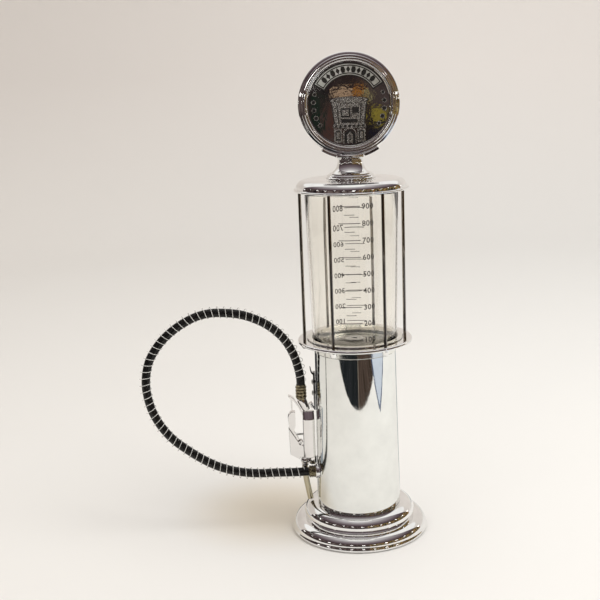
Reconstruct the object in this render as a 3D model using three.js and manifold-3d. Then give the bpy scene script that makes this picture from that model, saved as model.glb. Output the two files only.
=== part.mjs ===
// Table-top drinks dispenser in the form of an old visible petrol pump.
// Millimetres, +Z up. Origin: centre of the base's underside. The sign faces -Y, the nozzle is at -X.
import * as THREE from 'three';
import * as BufferGeometryUtils from 'three/addons/utils/BufferGeometryUtils.js';
import Module from 'manifold-3d';

// ---- Driving dimensions ----
const GAP = 0.3;               // clearance between pieces that touch
const BASE_R = 72.4;           // rim of the base
const BASE_TOP = 29.5;         // top plate of the base
const COLUMN_R_LOW = 44.4;     // column outside radius at its foot
const COLUMN_R_HIGH = 42.6;    // and at its top
const COLUMN_TOP = 197;
const COLUMN_WALL = 1.6;
const COLLAR_R = 59.6;         // ring that the rods stand on
const COLLAR_Z = 206.6;        // its underside
const COLLAR_T = 3.8;
const ROD_CIRCLE = 52.5;       // radius of the circle of rods
const ROD_R = 1.6;
const ROD_COUNT = 6;
const GLASS_FOOT = 202.5;      // underside of the glass tank
const GLASS_TOP = 362.4;
const GLASS_R_TOP = 47.5;
const GLASS_R_LOW = 44.1;
const GLASS_WALL = 2.2;
const COVER_Z = 364.2;         // underside of the top cover
const COVER_R = 58.5;
const COVER_TOP = 375.6;
const MOUTH_R = 21.8;          // filler mouth in the top cover
const CAP_TOP = 400;
const SIGN_R = 50.8;
const SIGN_Z = 449.2;          // centre of the round sign
const SIGN_HALF_T = 4.4;
const HOSE_D = 9;
const OUTLET = { y: -6.5, z: 66 };   // hose outlet on the column
const NOZZLE_Y = 4.5;          // the nozzle's middle plane
const BODY_X = [-57.4, -45.3]; // nozzle body, left and right faces
const BODY_Z = [79.5, 131];
const PIVOT = { x: -60.6, z: 95.6 }; // pin of the nozzle's lever
const STEM_Z = 104.5;          // height of the valve stem
const FINE = 24;               // sides of large turned pieces
const SMALL = 12;              // sides of small turned pieces

// ---- Materials ----
const finish = (color, roughness, metalness) =>
  new THREE.MeshStandardMaterial({ color, roughness, metalness });
const CHROME = finish(0xdcdcdc, 0.08, 1);
const ROD_METAL = finish(0x8d8884, 0.2, 1);
const STEEL = finish(0xa9a9a6, 0.35, 1);
const BRASS = finish(0xb59a54, 0.3, 1);
const IRON = finish(0x4a4a4a, 0.8, 0.6);
const DARK_FERRULE = finish(0x5c5646, 0.4, 0.7);
const SIGN_METAL = finish(0xb9b5ae, 0.15, 1);
const GLASS = new THREE.MeshStandardMaterial(
  { color: 0xf4f2ea, roughness: 0.05, metalness: 0, transparent: true, opacity: 0.35 });
const RUBBER = finish(0x161616, 0.7, 0);
const SILICONE = finish(0xe6e4dc, 0.6, 0);
const FELT = finish(0x2b2b2b, 0.95, 0);

// ---- Solids ----
const wasm = await Module();
wasm.setup();

// A closed mesh as a solid, with shared vertices merged and its faces pointing out.
function solid(geometry) {
  if (!geometry.isBufferGeometry) return geometry;
  const bare = geometry.clone();
  bare.deleteAttribute('normal');
  bare.deleteAttribute('uv');
  const merged = BufferGeometryUtils.mergeVertices(bare, 1e-4);
  const position = merged.getAttribute('position').array;
  const index = merged.getIndex().array;
  const corner = (i) => new THREE.Vector3().fromArray(position, 3 * i);
  const triVerts = [];
  let volume = 0;
  for (let i = 0; i < index.length; i += 3) {
    const [a, b, c] = index.slice(i, i + 3);
    if (a === b || b === c || c === a) continue;
    triVerts.push(a, b, c);
    volume += corner(a).dot(corner(b).cross(corner(c)));
  }
  if (volume < 0) {
    for (let i = 0; i < triVerts.length; i += 3) {
      [triVerts[i], triVerts[i + 1]] = [triVerts[i + 1], triVerts[i]];
    }
  }
  return new wasm.Manifold(new wasm.Mesh({
    numProp: 3,
    vertProperties: new Float32Array(position),
    triVerts: new Uint32Array(triVerts),
  }));
}

const cut = (body, ...tools) => tools.reduce((left, tool) => left.subtract(solid(tool)), solid(body));
const join = (...bodies) => bodies.map(solid).reduce((whole, body) => whole.add(body));

const group = new THREE.Group();
group.name = 'gas_pump_dispenser';

function piece(name, shape, material) {
  const result = solid(shape).getMesh();
  const geometry = new THREE.BufferGeometry();
  geometry.setAttribute('position', new THREE.BufferAttribute(result.vertProperties, 3));
  geometry.setIndex(new THREE.BufferAttribute(result.triVerts, 1));
  geometry.computeVertexNormals();
  const mesh = new THREE.Mesh(geometry, material);
  mesh.name = name;
  group.add(mesh);
  return mesh;
}

// ---- Shapes ----
// Turned about Z from [radius, height] points.
function turned(profile, sides = FINE) {
  const points = profile.map(([r, z]) => new THREE.Vector2(r, z));
  const [first, last] = [profile[0], profile[profile.length - 1]];
  if (first[0] > 0 || last[0] > 0) points.push(points[0].clone());
  return new THREE.LatheGeometry(points, sides).rotateX(Math.PI / 2);
}

// A ring, or a disc when rIn is 0.
const ring = (rIn, rOut, z0, z1, sides = FINE) => (rIn > 0
  ? turned([[rIn, z0], [rOut, z0], [rOut, z1], [rIn, z1]], sides)
  : turned([[0, z0], [rOut, z0], [rOut, z1], [0, z1]], sides));

// Points of an elliptical arc in a profile, angles in degrees.
function arc(cx, cz, rx, rz, from, to, steps) {
  const points = [];
  for (let i = 0; i <= steps; i += 1) {
    const a = THREE.MathUtils.degToRad(from + ((to - from) * i) / steps);
    points.push([cx + rx * Math.cos(a), cz + rz * Math.sin(a)]);
  }
  return points;
}

// A hexagon nut with a round bore, rHex across its corners.
const hexNut = (rHex, rBore, z0, z1) => cut(ring(0, rHex, z0, z1, 6), ring(0, rBore, z0 - 1, z1 + 1, SMALL));

const upright = (r, z0, z1, x, y, sides = SMALL) => ring(0, r, z0, z1, sides).translate(x, y, 0);

// A round bar along X between two places.
const alongX = (r, x0, x1, y, z, sides = SMALL) =>
  ring(0, r, x0, x1, sides).rotateY(Math.PI / 2).translate(0, y, z);

// A round bar along Y through (x, z).
const alongY = (r, y0, y1, x, z, sides = SMALL) =>
  ring(0, r, y0, y1, sides).rotateX(-Math.PI / 2).translate(x, 0, z);

// A plate with an outline in the XZ plane and its width along Y.
function plate(outline, width, yMiddle) {
  const shape = new THREE.Shape(outline.map(([x, z]) => new THREE.Vector2(x, z)));
  return new THREE.ExtrudeGeometry(shape, { depth: width, bevelEnabled: false })
    .rotateX(Math.PI / 2).translate(0, yMiddle + width / 2, 0);
}

const box = (x0, x1, y0, y1, z0, z1) => new THREE.BoxGeometry(x1 - x0, y1 - y0, z1 - z0)
  .translate((x0 + x1) / 2, (y0 + y1) / 2, (z0 + z1) / 2);

// A tube along a smooth curve; rIn of 0 makes a solid rod.
function tube(points, rOut, rIn, sides, steps) {
  const curve = new THREE.CatmullRomCurve3(points.map((p) => new THREE.Vector3(...p)), false, 'centripetal');
  const circle = (r) => Array.from({ length: sides }, (_, i) => new THREE.Vector2(
    r * Math.cos((2 * Math.PI * i) / sides), r * Math.sin((2 * Math.PI * i) / sides)));
  const shape = new THREE.Shape(circle(rOut));
  if (rIn > 0) shape.holes.push(new THREE.Path(circle(rIn)));
  return new THREE.ExtrudeGeometry(shape, { steps, extrudePath: curve, bevelEnabled: false });
}

const onCircle = (r, degrees) => {
  const a = THREE.MathUtils.degToRad(degrees);
  return [r * Math.cos(a), r * Math.sin(a)];
};

// ---- Base ----
// A spun shell with two rolls over a flat rim, an iron weight inside and a pad below.
const SHELL_WALL = 1.8;
const SHELL_BORE = 30;
const FOOT_SCREW_CIRCLE = 36;
const lowerRoll = { r: 61, z: 5, rx: 10.2, rz: 9.1 };
const upperRoll = { r: 47, z: 19, rx: 11.8, rz: BASE_TOP - 19 };
const rollArc = (roll, inset, from, to) =>
  arc(roll.r, roll.z, roll.rx - inset, roll.rz - inset, from, to, inset > 0 ? 3 : 4);
const footScrews = [90, 210, 330].map((angle) => onCircle(FOOT_SCREW_CIRCLE, angle));
const footScrewHoles = (r, z0, z1) => footScrews.map(([x, y]) => upright(r, z0, z1, x, y, 12));

piece('base_pad', ring(0, 69, 0, 0.8), FELT);
piece('base_weight', cut(
  turned([[12, 1.1], [65.5, 1.1], [65.5, 6], [62, 9], [12, 9]]),
  ...footScrewHoles(2.4, 0, 10), ...footScrewHoles(4.4, 0, 4.4)), IRON);
piece('base_shell', cut(turned([
  [70.6, 0.9], [BASE_R, 2], [BASE_R, 3.8],
  ...rollArc(lowerRoll, 0, 0, 90), [59.4, 14.3],
  ...rollArc(upperRoll, 0, 0, 90), [SHELL_BORE, BASE_TOP],
  [SHELL_BORE, BASE_TOP - SHELL_WALL],
  ...rollArc(upperRoll, SHELL_WALL, 90, 0), [57, 12.4],
  ...rollArc(lowerRoll, SHELL_WALL, 90, 0), [69.3, 0.9],
]), ...footScrewHoles(2.4, 20, 35)), CHROME);
piece('column_foot_ring', cut(
  ring(31, 42.2, BASE_TOP + GAP, 36.5), ...footScrewHoles(2.4, 25, 34)), STEEL);
footScrews.forEach(([x, y], i) => {
  piece(`base_screw_${i + 1}`, turned([
    [0, 1.9], [3.8, 1.9], [3.8, 4.1], [2, 4.1], [2, 33.4], [0, 33.4],
  ], 12).translate(x, y, 0), STEEL);
});

// ---- Column ----
// A slightly tapered tube with a cup on top that the glass tank stands in.
const columnRadius = (z) => COLUMN_R_LOW
  + ((COLUMN_R_HIGH - COLUMN_R_LOW) * (z - BASE_TOP)) / (COLUMN_TOP - BASE_TOP);
const HOLSTER_SCREWS = [150, 162];
const columnSpace = turned([
  [0, BASE_TOP], [columnRadius(BASE_TOP) + GAP, BASE_TOP], [COLUMN_R_HIGH + GAP, COLUMN_TOP], [0, COLUMN_TOP],
]);

piece('column_tube', cut(turned([
  [COLUMN_R_LOW - COLUMN_WALL, BASE_TOP + GAP], [COLUMN_R_LOW, BASE_TOP + GAP],
  [COLUMN_R_HIGH, COLUMN_TOP], [COLUMN_R_HIGH - COLUMN_WALL, COLUMN_TOP],
]), alongX(4.5, -50, -35, OUTLET.y, OUTLET.z),
...HOLSTER_SCREWS.map((z) => alongX(1.9, -50, -35, NOZZLE_Y, z, 12))), CHROME);

const CUP_FLOOR = COLUMN_TOP + GAP;
piece('neck_cup', turned([
  [6.4, CUP_FLOOR], [37.5, CUP_FLOOR], [37.5, 191], [40.4, 191], [40.4, CUP_FLOOR],
  [43.2, CUP_FLOOR], [43.2, COLLAR_Z - GAP], [45.4, COLLAR_Z - GAP], [45.4, COLLAR_Z + COLLAR_T + GAP],
  [50, COLLAR_Z + COLLAR_T + GAP], [50, 211.6], [49.6, 212], [44.8, 212],
  [43.2, 209.2], [41.9, 206], [41.9, 199.3], [6.4, 199.3],
]), CHROME);

const rodPlaces = Array.from({ length: ROD_COUNT }, (_, i) => onCircle(ROD_CIRCLE, (360 / ROD_COUNT) * i));
const rodHoles = (z0, z1) => rodPlaces.map(([x, y]) => upright(ROD_R + 0.4, z0, z1, x, y, 8));
piece('tank_collar', cut(turned([
  [45.8, COLLAR_Z], [58, COLLAR_Z], [COLLAR_R - 0.2, COLLAR_Z + 0.8], [COLLAR_R, COLLAR_Z + 1.9],
  [COLLAR_R - 0.3, COLLAR_Z + 3], [58.2, COLLAR_Z + COLLAR_T], [45.8, COLLAR_Z + COLLAR_T],
]), ...rodHoles(COLLAR_Z - 1, COLLAR_Z + COLLAR_T + 1)), CHROME);

// ---- Glass tank and its drain ----
const FLOOR_CORNER = 14;
const GLASS_FLOOR = GLASS_FOOT + 4;
piece('lower_gasket', ring(12, 36, 199.6, GLASS_FOOT - GAP), SILICONE);
piece('glass_tank', turned([
  [5.3, GLASS_FOOT],
  ...arc(GLASS_R_LOW - FLOOR_CORNER, GLASS_FOOT + FLOOR_CORNER, FLOOR_CORNER, FLOOR_CORNER, -90, 0, 4),
  [GLASS_R_TOP, GLASS_TOP - 0.6], [GLASS_R_TOP - 0.6, GLASS_TOP],
  [GLASS_R_TOP - GLASS_WALL + 0.6, GLASS_TOP], [GLASS_R_TOP - GLASS_WALL, GLASS_TOP - 0.6],
  ...arc(GLASS_R_LOW - FLOOR_CORNER, GLASS_FLOOR + 11, FLOOR_CORNER - GLASS_WALL, 11, 0, -90, 4),
  [5.3, GLASS_FLOOR],
]), GLASS);
piece('drain_washer', ring(5.1, 9.5, GLASS_FLOOR + GAP, GLASS_FLOOR + 0.9, SMALL), SILICONE);
piece('drain_fitting', turned([
  [2.6, 180], [4, 180], [4.4, 182], [4, 184], [4.4, 186], [4, 188], [4.8, 188],
  [4.8, GLASS_FLOOR + 1.2], [9.5, GLASS_FLOOR + 1.2], [9.2, GLASS_FLOOR + 2.8], [2.6, GLASS_FLOOR + 2.8],
], SMALL), BRASS);
piece('drain_nut', hexNut(9.4, 5.2, 191.5, CUP_FLOOR - GAP), BRASS);
piece('inner_tube', tube([
  [0, 0, 187.6], [0, 0, 165], [0, 0, 140], [1, 0, 115], [0.5, -1.5, 92], [-6, -4, 75.5],
  [-17, -6, 67.5], [-27, OUTLET.y, OUTLET.z], [-31, OUTLET.y, OUTLET.z],
], 6.6, 5, 8, 14), SILICONE);

// ---- Hose outlet on the column ----
piece('outlet_fitting', turned([
  [2.3, 26], [3.8, 26], [4.2, 28], [3.8, 30], [4, 32], [4, 52.6], [2.3, 52.6],
], SMALL).rotateY(-Math.PI / 2).translate(0, OUTLET.y, OUTLET.z), BRASS);
piece('outlet_nut', cut(
  alongX(7.6, -39.5, -33.5, OUTLET.y, OUTLET.z, 6), alongX(4.4, -41, -32, OUTLET.y, OUTLET.z)), BRASS);
piece('outlet_flange', cut(
  turned([[4.4, 40], [7.8, 40], [7.8, 45.6], [7, 46.2], [4.4, 46.2]], SMALL)
    .rotateY(-Math.PI / 2).translate(0, OUTLET.y, OUTLET.z), columnSpace), CHROME);
const outletRings = [];
for (let i = 0; i < 3; i += 1) {
  const x = 46.5 + i * 2.3;
  outletRings.push([6.4, x], [6.4, x + 1.5], [5.8, x + 1.8]);
}
piece('outlet_ferrule', turned([[4.4, 46.5], ...outletRings, [5.8, 53.4], [4.4, 53.4]], SMALL)
  .rotateY(-Math.PI / 2).translate(0, OUTLET.y, OUTLET.z), DARK_FERRULE);

// ---- Rods ----
rodPlaces.forEach(([x, y], i) => {
  piece(`tie_rod_${i + 1}`, upright(ROD_R, 201.8, 369.6, x, y, 8), ROD_METAL);
  piece(`rod_nut_${i + 1}`, turned([
    [0, 199.8], [1.7, 200.1], [2.7, 201.2], [3.4, 202.4], [3.4, COLLAR_Z - GAP],
    [ROD_R + 0.4, COLLAR_Z - GAP], [ROD_R + 0.4, 201.4], [0, 201.4],
  ], 8).translate(x, y, 0), STEEL);
});

// ---- Top cover, cap and sign ----
piece('upper_gasket', ring(43.4, 48.8, GLASS_TOP + GAP, COVER_Z - GAP), SILICONE);
piece('top_cover', cut(turned([
  [43, COVER_Z], [57.8, COVER_Z], [COVER_R, COVER_Z + 0.7], [COVER_R, COVER_Z + 1.5],
  [57.6, COVER_Z + 2.3], [56, COVER_Z + 2.5],
  ...arc(46.5, 368.2, 9.5, COVER_TOP - 0.2 - 368.2, 0, 90, 4),
  [MOUTH_R, COVER_TOP], [MOUTH_R, 366.2], [24, 366.2], [24, COVER_TOP - 2], [43, COVER_TOP - 2.6],
]), ...rodHoles(COVER_Z - 1, 370)), CHROME);
piece('cap_seal', turned([
  [18.8, 368.2], [20.8, 368.2], [21.4, 369], [21.1, 370.4], [21.4, 371.8], [21.1, 373.2], [20.8, 374.2],
  [18.8, 374.2],
]), SILICONE);

const saddleOuter = SIGN_R + 3;
const PEDESTAL_Z = COVER_TOP + GAP;
piece('filler_cap', cut(turned([
  [0, 364.6], [20.4, 364.6], [20.8, 365], [20.8, 367.9], [18.5, 367.9], [18.5, PEDESTAL_Z],
  [25.4, PEDESTAL_Z], [25.4, PEDESTAL_Z + 1.6], [23.6, PEDESTAL_Z + 2.4], [23.6, PEDESTAL_Z + 3.4],
  [21.6, PEDESTAL_Z + 4.4],
  ...arc(23, CAP_TOP - 6.4, 10.2, 12.6, 265, 180, 4),
  [12.8, CAP_TOP - 5.2], [14, CAP_TOP - 3.6], [15.4, CAP_TOP - 2.6], [15.4, CAP_TOP - 0.6],
  [14.8, CAP_TOP], [0, CAP_TOP],
]),
ring(0, saddleOuter + GAP, -SIGN_HALF_T - 0.5, SIGN_HALF_T + 0.5, 48).rotateX(Math.PI / 2)
  .translate(0, 0, SIGN_Z),
box(-4, 4, -4, 4, 386, 398)), CHROME);

// A flat-faced round piece turned about the sign's own axis; t grows towards the front.
const signTurned = (profile, sides = FINE) => turned(profile, sides)
  .rotateX(Math.PI / 2).translate(0, 0, SIGN_Z);
const SADDLE_HALF_ANGLE = 33;
const saddleArc = arc(0, SIGN_Z, saddleOuter, saddleOuter, 270 - SADDLE_HALF_ANGLE, 270 + SADDLE_HALF_ANGLE, 14)
  .concat(arc(0, SIGN_Z, SIGN_R + GAP, SIGN_R + GAP, 270 + SADDLE_HALF_ANGLE, 270 - SADDLE_HALF_ANGLE, 14));
piece('sign_saddle', join(
  plate(saddleArc, 2 * SIGN_HALF_T, 0), box(-3.6, 3.6, -3.6, 3.6, 388, 396.2)), CHROME);
piece('sign_rim', signTurned([
  [42.6, -2.8], [44, -4.1], [47.6, -SIGN_HALF_T], [50, -3.2], [SIGN_R, -1.2],
  [SIGN_R, 1.2], [50, 3.2], [47.6, SIGN_HALF_T], [44, 4.1], [42.6, 2.8],
]), CHROME);
const banner = arc(0, SIGN_Z, 40, 40, 30, 150, 12).concat(arc(0, SIGN_Z, 27.5, 27.5, 150, 30, 12));
piece('sign_plaque', join(
  signTurned([[0, 0.3], [42.3, 0.3], [42.3, 2.2], [0, 2.2]]),
  plate(banner, 1.6, -2.4),
  plate([[-13, 409.5], [13, 409.5], [15, 446], [15, 452], [-15, 452], [-15, 446]], 1.6, -2.4)), SIGN_METAL);
piece('sign_back', signTurned([[0, -2.2], [42.3, -2.2], [42.3, -0.3], [0, -0.3]]), CHROME);

// ---- Holster bracket on the column ----
// A strip with a small open hook at its top and a sloping prong at its foot, which the nozzle hangs on.
const PRONG_ANGLE = THREE.MathUtils.degToRad(30);    // from upright, leaning away from the column
const PRONG_FOOT = [-46.4, 134];
const alongProng = (u, v) => [
  PRONG_FOOT[0] - u * Math.sin(PRONG_ANGLE) + v * Math.cos(PRONG_ANGLE),
  PRONG_FOOT[1] + u * Math.cos(PRONG_ANGLE) + v * Math.sin(PRONG_ANGLE),
];
const STRIP_X = -45.1;
piece('holster_bracket', cut(join(
  plate([[-42, 132], [STRIP_X, 132], [STRIP_X, 172.6], [-42, 172.6]], 9, NOZZLE_Y),
  plate([[-44, 169.5], [-45.8, 170.6], [-47.6, 173], [-48.4, 178.6], [-47.2, 178.8], [-46.4, 174.2],
    [-45, 172.4], [-44, 172.4]], 5, NOZZLE_Y),
  plate([alongProng(-3, 0), alongProng(-3, 1.3), alongProng(4.4, 1.3), alongProng(4.4, 0)], 3.4, NOZZLE_Y),
), columnSpace, ...HOLSTER_SCREWS.map((z) => alongX(1.9, -50, -35, NOZZLE_Y, z, 12))), CHROME);
HOLSTER_SCREWS.forEach((z, i) => {
  piece(`holster_screw_${i + 1}`, turned([
    [0, 38.5], [1.5, 38.5], [1.5, 45.4], [2.9, 45.4], [2.6, 46.3], [1.6, 46.8], [0, 46.8],
  ], 12).rotateY(-Math.PI / 2).translate(0, NOZZLE_Y, z), STEEL);
});

// ---- Hose ----
// Leaves the outlet level, runs out and up in one stiff loop, and comes down into the nozzle's ferrule.
const HOSE_ROUTE = [
  [-53.7, -6.5, 66], [-62, -6.5, 66], [-75, -6.6, 66.2], [-90, -6.8, 66.8], [-105, -7, 67], [-120, -7, 68.6],
  [-135.5, -6.8, 72], [-151, -6.4, 77.8], [-166, -5.8, 86.2], [-181, -5, 96.8], [-195.5, -4, 109],
  [-207, -3, 123.6], [-215, -2, 139.6], [-219.2, -1, 156], [-220.2, -0.2, 170.3], [-218.6, 0.6, 183],
  [-214.8, 1.2, 195.2], [-209, 1.8, 205], [-201.3, 2.3, 214.6], [-191.6, 2.7, 223.3], [-179.2, 3.1, 231.6],
  [-164, 3.5, 238.6], [-148.7, 3.8, 241.6], [-133.5, 4, 241], [-118.5, 4.2, 238.6], [-103.6, 4.3, 233.2],
  [-88.8, 4.4, 224.6], [-74.4, 4.5, 210.6], [-64.6, 4.5, 192.8], [-59.6, 4.5, 174.4], [-58.4, 4.5, 166],
  [-58.3, 4.5, 160],
];
piece('hose', tube(HOSE_ROUTE, HOSE_D / 2, 0, 8, 36), RUBBER);

// ---- Nozzle ----
const ferruleRings = [];
for (let i = 0; i < 4; i += 1) {
  const z = 145.6 + i * 3.4;
  ferruleRings.push([5.8, z], [5.8, z + 2.3], [5.2, z + 2.8]);
}
piece('nozzle_ferrule', turned([[3, 144.2], [5, 144.2], ...ferruleRings, [5.2, 159.6], [3, 159.6]], SMALL)
  .translate(-58.3, NOZZLE_Y, 0), DARK_FERRULE);

// A round taper that leans from the body's mouth to the ferrule.
const NECK = { z0: BODY_Z[1] + GAP, z1: 143.8, x0: -53, x1: -58.3 };
function leaning(r0, r1) {
  const height = NECK.z1 - NECK.z0;
  const shear = new THREE.Matrix4().set(
    1, 0, (NECK.x1 - NECK.x0) / height, NECK.x0,
    0, 1, 0, NOZZLE_Y,
    0, 0, 1, NECK.z0,
    0, 0, 0, 1);
  return turned([[0, 0], [r0, 0], [r1, height], [0, height]], SMALL).applyMatrix4(shear);
}
piece('nozzle_neck', cut(leaning(4.1, 5.1), leaning(2.2, 2.2)
  .applyMatrix4(new THREE.Matrix4().makeTranslation(0, 0, -NECK.z0))
  .applyMatrix4(new THREE.Matrix4().makeScale(1, 1, 1.2))
  .applyMatrix4(new THREE.Matrix4().makeTranslation(0, 0, NECK.z0 - 1))), CHROME);

const bodyOutline = new THREE.Shape([
  [BODY_X[0], -5], [-55.6, -6.4], [-51.4, -7.2], [-47.2, -6.4], [BODY_X[1], -5], [BODY_X[1], 5],
  [-47.2, 6.4], [-51.4, 7.2], [-55.6, 6.4], [BODY_X[0], 5],
].map(([x, y]) => new THREE.Vector2(x, y)));
const CHAMBER_X = [-56, -47.8];
piece('nozzle_body', cut(
  new THREE.ExtrudeGeometry(bodyOutline, { depth: BODY_Z[1] - BODY_Z[0], bevelEnabled: false })
    .translate(0, NOZZLE_Y, BODY_Z[0]),
  plate([[-46.8, 131.5], [-44, 131.5], [-44, 128.6]], 20, NOZZLE_Y),
  upright(2.3, 70, 140, NECK.x0, NOZZLE_Y),
  alongX(3.1, CHAMBER_X[0], CHAMBER_X[1], NOZZLE_Y, STEM_Z),
  alongX(1.5, -60, -55, NOZZLE_Y, STEM_Z, 12)), CHROME);
piece('nozzle_lug', plate([
  [-0.4, -1.7], [6, -1.7], [6, 2.4], [2.6, 2.4], [2.6, 1.6], [4.8, 1.6], [4.8, -0.4], [-0.4, -0.4],
].map(([u, v]) => alongProng(u, v)), 5, NOZZLE_Y), CHROME);

// The lever lies on the sloping top edge of the guard.
const LEVER_TOP = { x: -71.2, z: 113 };
const leverLength = Math.hypot(LEVER_TOP.x - PIVOT.x, LEVER_TOP.z - PIVOT.z);
const leverDir = [(LEVER_TOP.x - PIVOT.x) / leverLength, (LEVER_TOP.z - PIVOT.z) / leverLength];
// u runs along the lever from its pin, v towards the body.
const onLever = (u, v) => [PIVOT.x + u * leverDir[0] + v * leverDir[1], PIVOT.z + u * leverDir[1] - v * leverDir[0]];
const LEVER_T = 2.2;
const PIN_R = 1;
piece('guard_block', cut(join(
  plate([onLever(3.2, -1.6), onLever(21, -1.6), [-72, 83.1], [-62, 77.2], [-61.6, 79.6], [-57.8, 79.6],
    [-57.8, 92], [-60, 94]],
    8, NOZZLE_Y),
  alongY(2.6, NOZZLE_Y - 4, NOZZLE_Y + 4, PIVOT.x, PIVOT.z)),
alongY(4.2, NOZZLE_Y - 1.7, NOZZLE_Y + 1.7, PIVOT.x, PIVOT.z, 24),
alongY(PIN_R + GAP, -5, 15, PIVOT.x, PIVOT.z, 12)), CHROME);
piece('guard_wing', plate([
  [-57.8, 126.4], [-57.8, 130.2], [-61.2, 137], [-65, 143], [-66, 145], [-72.2, 148.6], [-71.4, 146.4],
  [-69.4, 144.2], [-69.2, 132.8], [-67.9, 132.8], [-67.9, 143], [-66.4, 142], [-62.4, 136],
], 7, NOZZLE_Y), CHROME);
piece('lever_pin', alongY(PIN_R, NOZZLE_Y - 4.4, NOZZLE_Y + 4.4, PIVOT.x, PIVOT.z, 12), STEEL);
piece('lever', cut(join(
  plate([onLever(0, -LEVER_T / 2), onLever(20, -LEVER_T / 2), onLever(20, LEVER_T / 2), onLever(0, LEVER_T / 2)],
    2.6, NOZZLE_Y),
  alongY(2.3, NOZZLE_Y - 1.3, NOZZLE_Y + 1.3, PIVOT.x, PIVOT.z),
  plate([onLever(5, -LEVER_T / 2), onLever(19.6, -LEVER_T / 2), [-72.6, 116], [-73.2, 123.6], [-72.4, 127.4],
    [-68.6, 130.8], [-65.4, 130.4], [-65.4, 115.4], onLever(15, LEVER_T / 2), onLever(5, LEVER_T / 2)],
  7, NOZZLE_Y)),
alongY(PIN_R + GAP, -5, 15, PIVOT.x, PIVOT.z, 12)), CHROME);

// ---- Valve ----
const SPRING_TURNS = 4;
const springX = [-53.6, -48.6];
const spring = Array.from({ length: SPRING_TURNS * 8 + 1 }, (_, i) => {
  const turn = i / 8;
  const x = springX[0] + ((springX[1] - springX[0]) * turn) / SPRING_TURNS;
  return [x, NOZZLE_Y + 2 * Math.cos(2 * Math.PI * turn), STEM_Z + 2 * Math.sin(2 * Math.PI * turn)];
});
piece('valve_spring', tube(spring, 0.3, 0, 4, SPRING_TURNS * 9), STEEL);
piece('valve_stem', turned([
  [0, -64.2], [0.7, -64.2], [1.1, -63.6], [1.1, -55.2], [2.6, -55.2], [2.6, -54.2], [1.1, -54.2], [1.1, -50.6],
  [0, -50.6],
], 12).rotateY(Math.PI / 2).translate(0, NOZZLE_Y, STEM_Z), BRASS);

// ---- Spout ----
piece('spout_collar', turned([
  [3.6, 70.4], [4, 70.2], [4.6, 72.4], [4.6, 76.6], [3.9, 79.2], [3.6, 79.2],
], SMALL).translate(-56.6, NOZZLE_Y, 0), CHROME);
piece('valve_cap', turned([[0, 70.6], [3.4, 70.6], [4, 71.2], [4, 79.2], [0, 79.2]], 6)
  .translate(-48.2, NOZZLE_Y, 0), CHROME);
piece('spout', tube([
  [-56.6, NOZZLE_Y, 79.2], [-56.8, NOZZLE_Y, 72], [-57, NOZZLE_Y, 64], [-56, NOZZLE_Y, 54],
  [-54.2, NOZZLE_Y, 43], [-52, NOZZLE_Y, 31],
], 3.1, 2.2, 10, 7), CHROME);

export default group;
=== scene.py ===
import math

import bmesh
import bpy
from mathutils import Matrix, Vector


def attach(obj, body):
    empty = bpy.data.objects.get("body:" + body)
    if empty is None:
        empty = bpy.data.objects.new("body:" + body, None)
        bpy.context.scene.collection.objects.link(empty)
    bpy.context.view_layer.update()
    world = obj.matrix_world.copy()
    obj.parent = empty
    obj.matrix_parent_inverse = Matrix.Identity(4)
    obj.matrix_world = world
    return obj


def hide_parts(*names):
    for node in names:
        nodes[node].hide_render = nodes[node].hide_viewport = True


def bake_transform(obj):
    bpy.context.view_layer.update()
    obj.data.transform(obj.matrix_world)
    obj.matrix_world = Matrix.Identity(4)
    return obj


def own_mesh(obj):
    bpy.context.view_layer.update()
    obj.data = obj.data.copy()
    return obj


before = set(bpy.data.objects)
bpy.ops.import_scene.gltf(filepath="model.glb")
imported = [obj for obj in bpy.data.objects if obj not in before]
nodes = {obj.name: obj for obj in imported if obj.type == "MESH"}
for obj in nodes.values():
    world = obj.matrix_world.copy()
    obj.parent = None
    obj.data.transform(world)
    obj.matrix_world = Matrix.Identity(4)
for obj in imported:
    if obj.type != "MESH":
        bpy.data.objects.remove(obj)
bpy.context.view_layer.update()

# ---- Base pad ----
# A punched disc of black wool felt that keeps the pump from scratching a bar top.
# It is glued to the iron weight and reaches almost to the rim of the base.
MM = 0.001
TURN = 2 * math.pi


def new_piece(name, points, faces, sharp=35):
    """A piece from points in millimetres, smooth but for edges sharper than the angle in degrees."""
    mesh = bpy.data.meshes.new(name)
    mesh.from_pydata([Vector(p) * MM for p in points], [], faces)
    made = bmesh.new()
    made.from_mesh(mesh)
    bmesh.ops.remove_doubles(made, verts=made.verts, dist=0.002 * MM)
    bmesh.ops.recalc_face_normals(made, faces=made.faces)
    made.to_mesh(mesh)
    made.free()
    mesh.shade_smooth()
    mesh.set_sharp_from_angle(angle=math.radians(sharp))
    piece = bpy.data.objects.new(name, mesh)
    bpy.context.scene.collection.objects.link(piece)
    return piece


def eased(profile, radius, closed=True, steps=4):
    """The outline with each of its corners turned into a small arc."""
    corners = [Vector(p) for p in profile]
    count = len(corners)
    out = []
    for i, corner in enumerate(corners):
        if not closed and i in (0, count - 1):
            out.append(corner)
            continue
        before = corners[i - 1] - corner
        after = corners[(i + 1) % count] - corner
        reach = min(radius, 0.45 * before.length, 0.45 * after.length)
        if reach < 1e-3 or before.angle(after) > math.radians(172):
            out.append(corner)
            continue
        start = corner + before.normalized() * reach
        end = corner + after.normalized() * reach
        out.append(corner + before.normalized() * reach * 1.12)
        for k in range(steps + 1):
            t = k / steps
            out.append(start * (1 - t) ** 2 + corner * (2 * t * (1 - t)) + end * t ** 2)
        out.append(corner + after.normalized() * reach * 1.12)
    return [tuple(p) for p in out]


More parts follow.
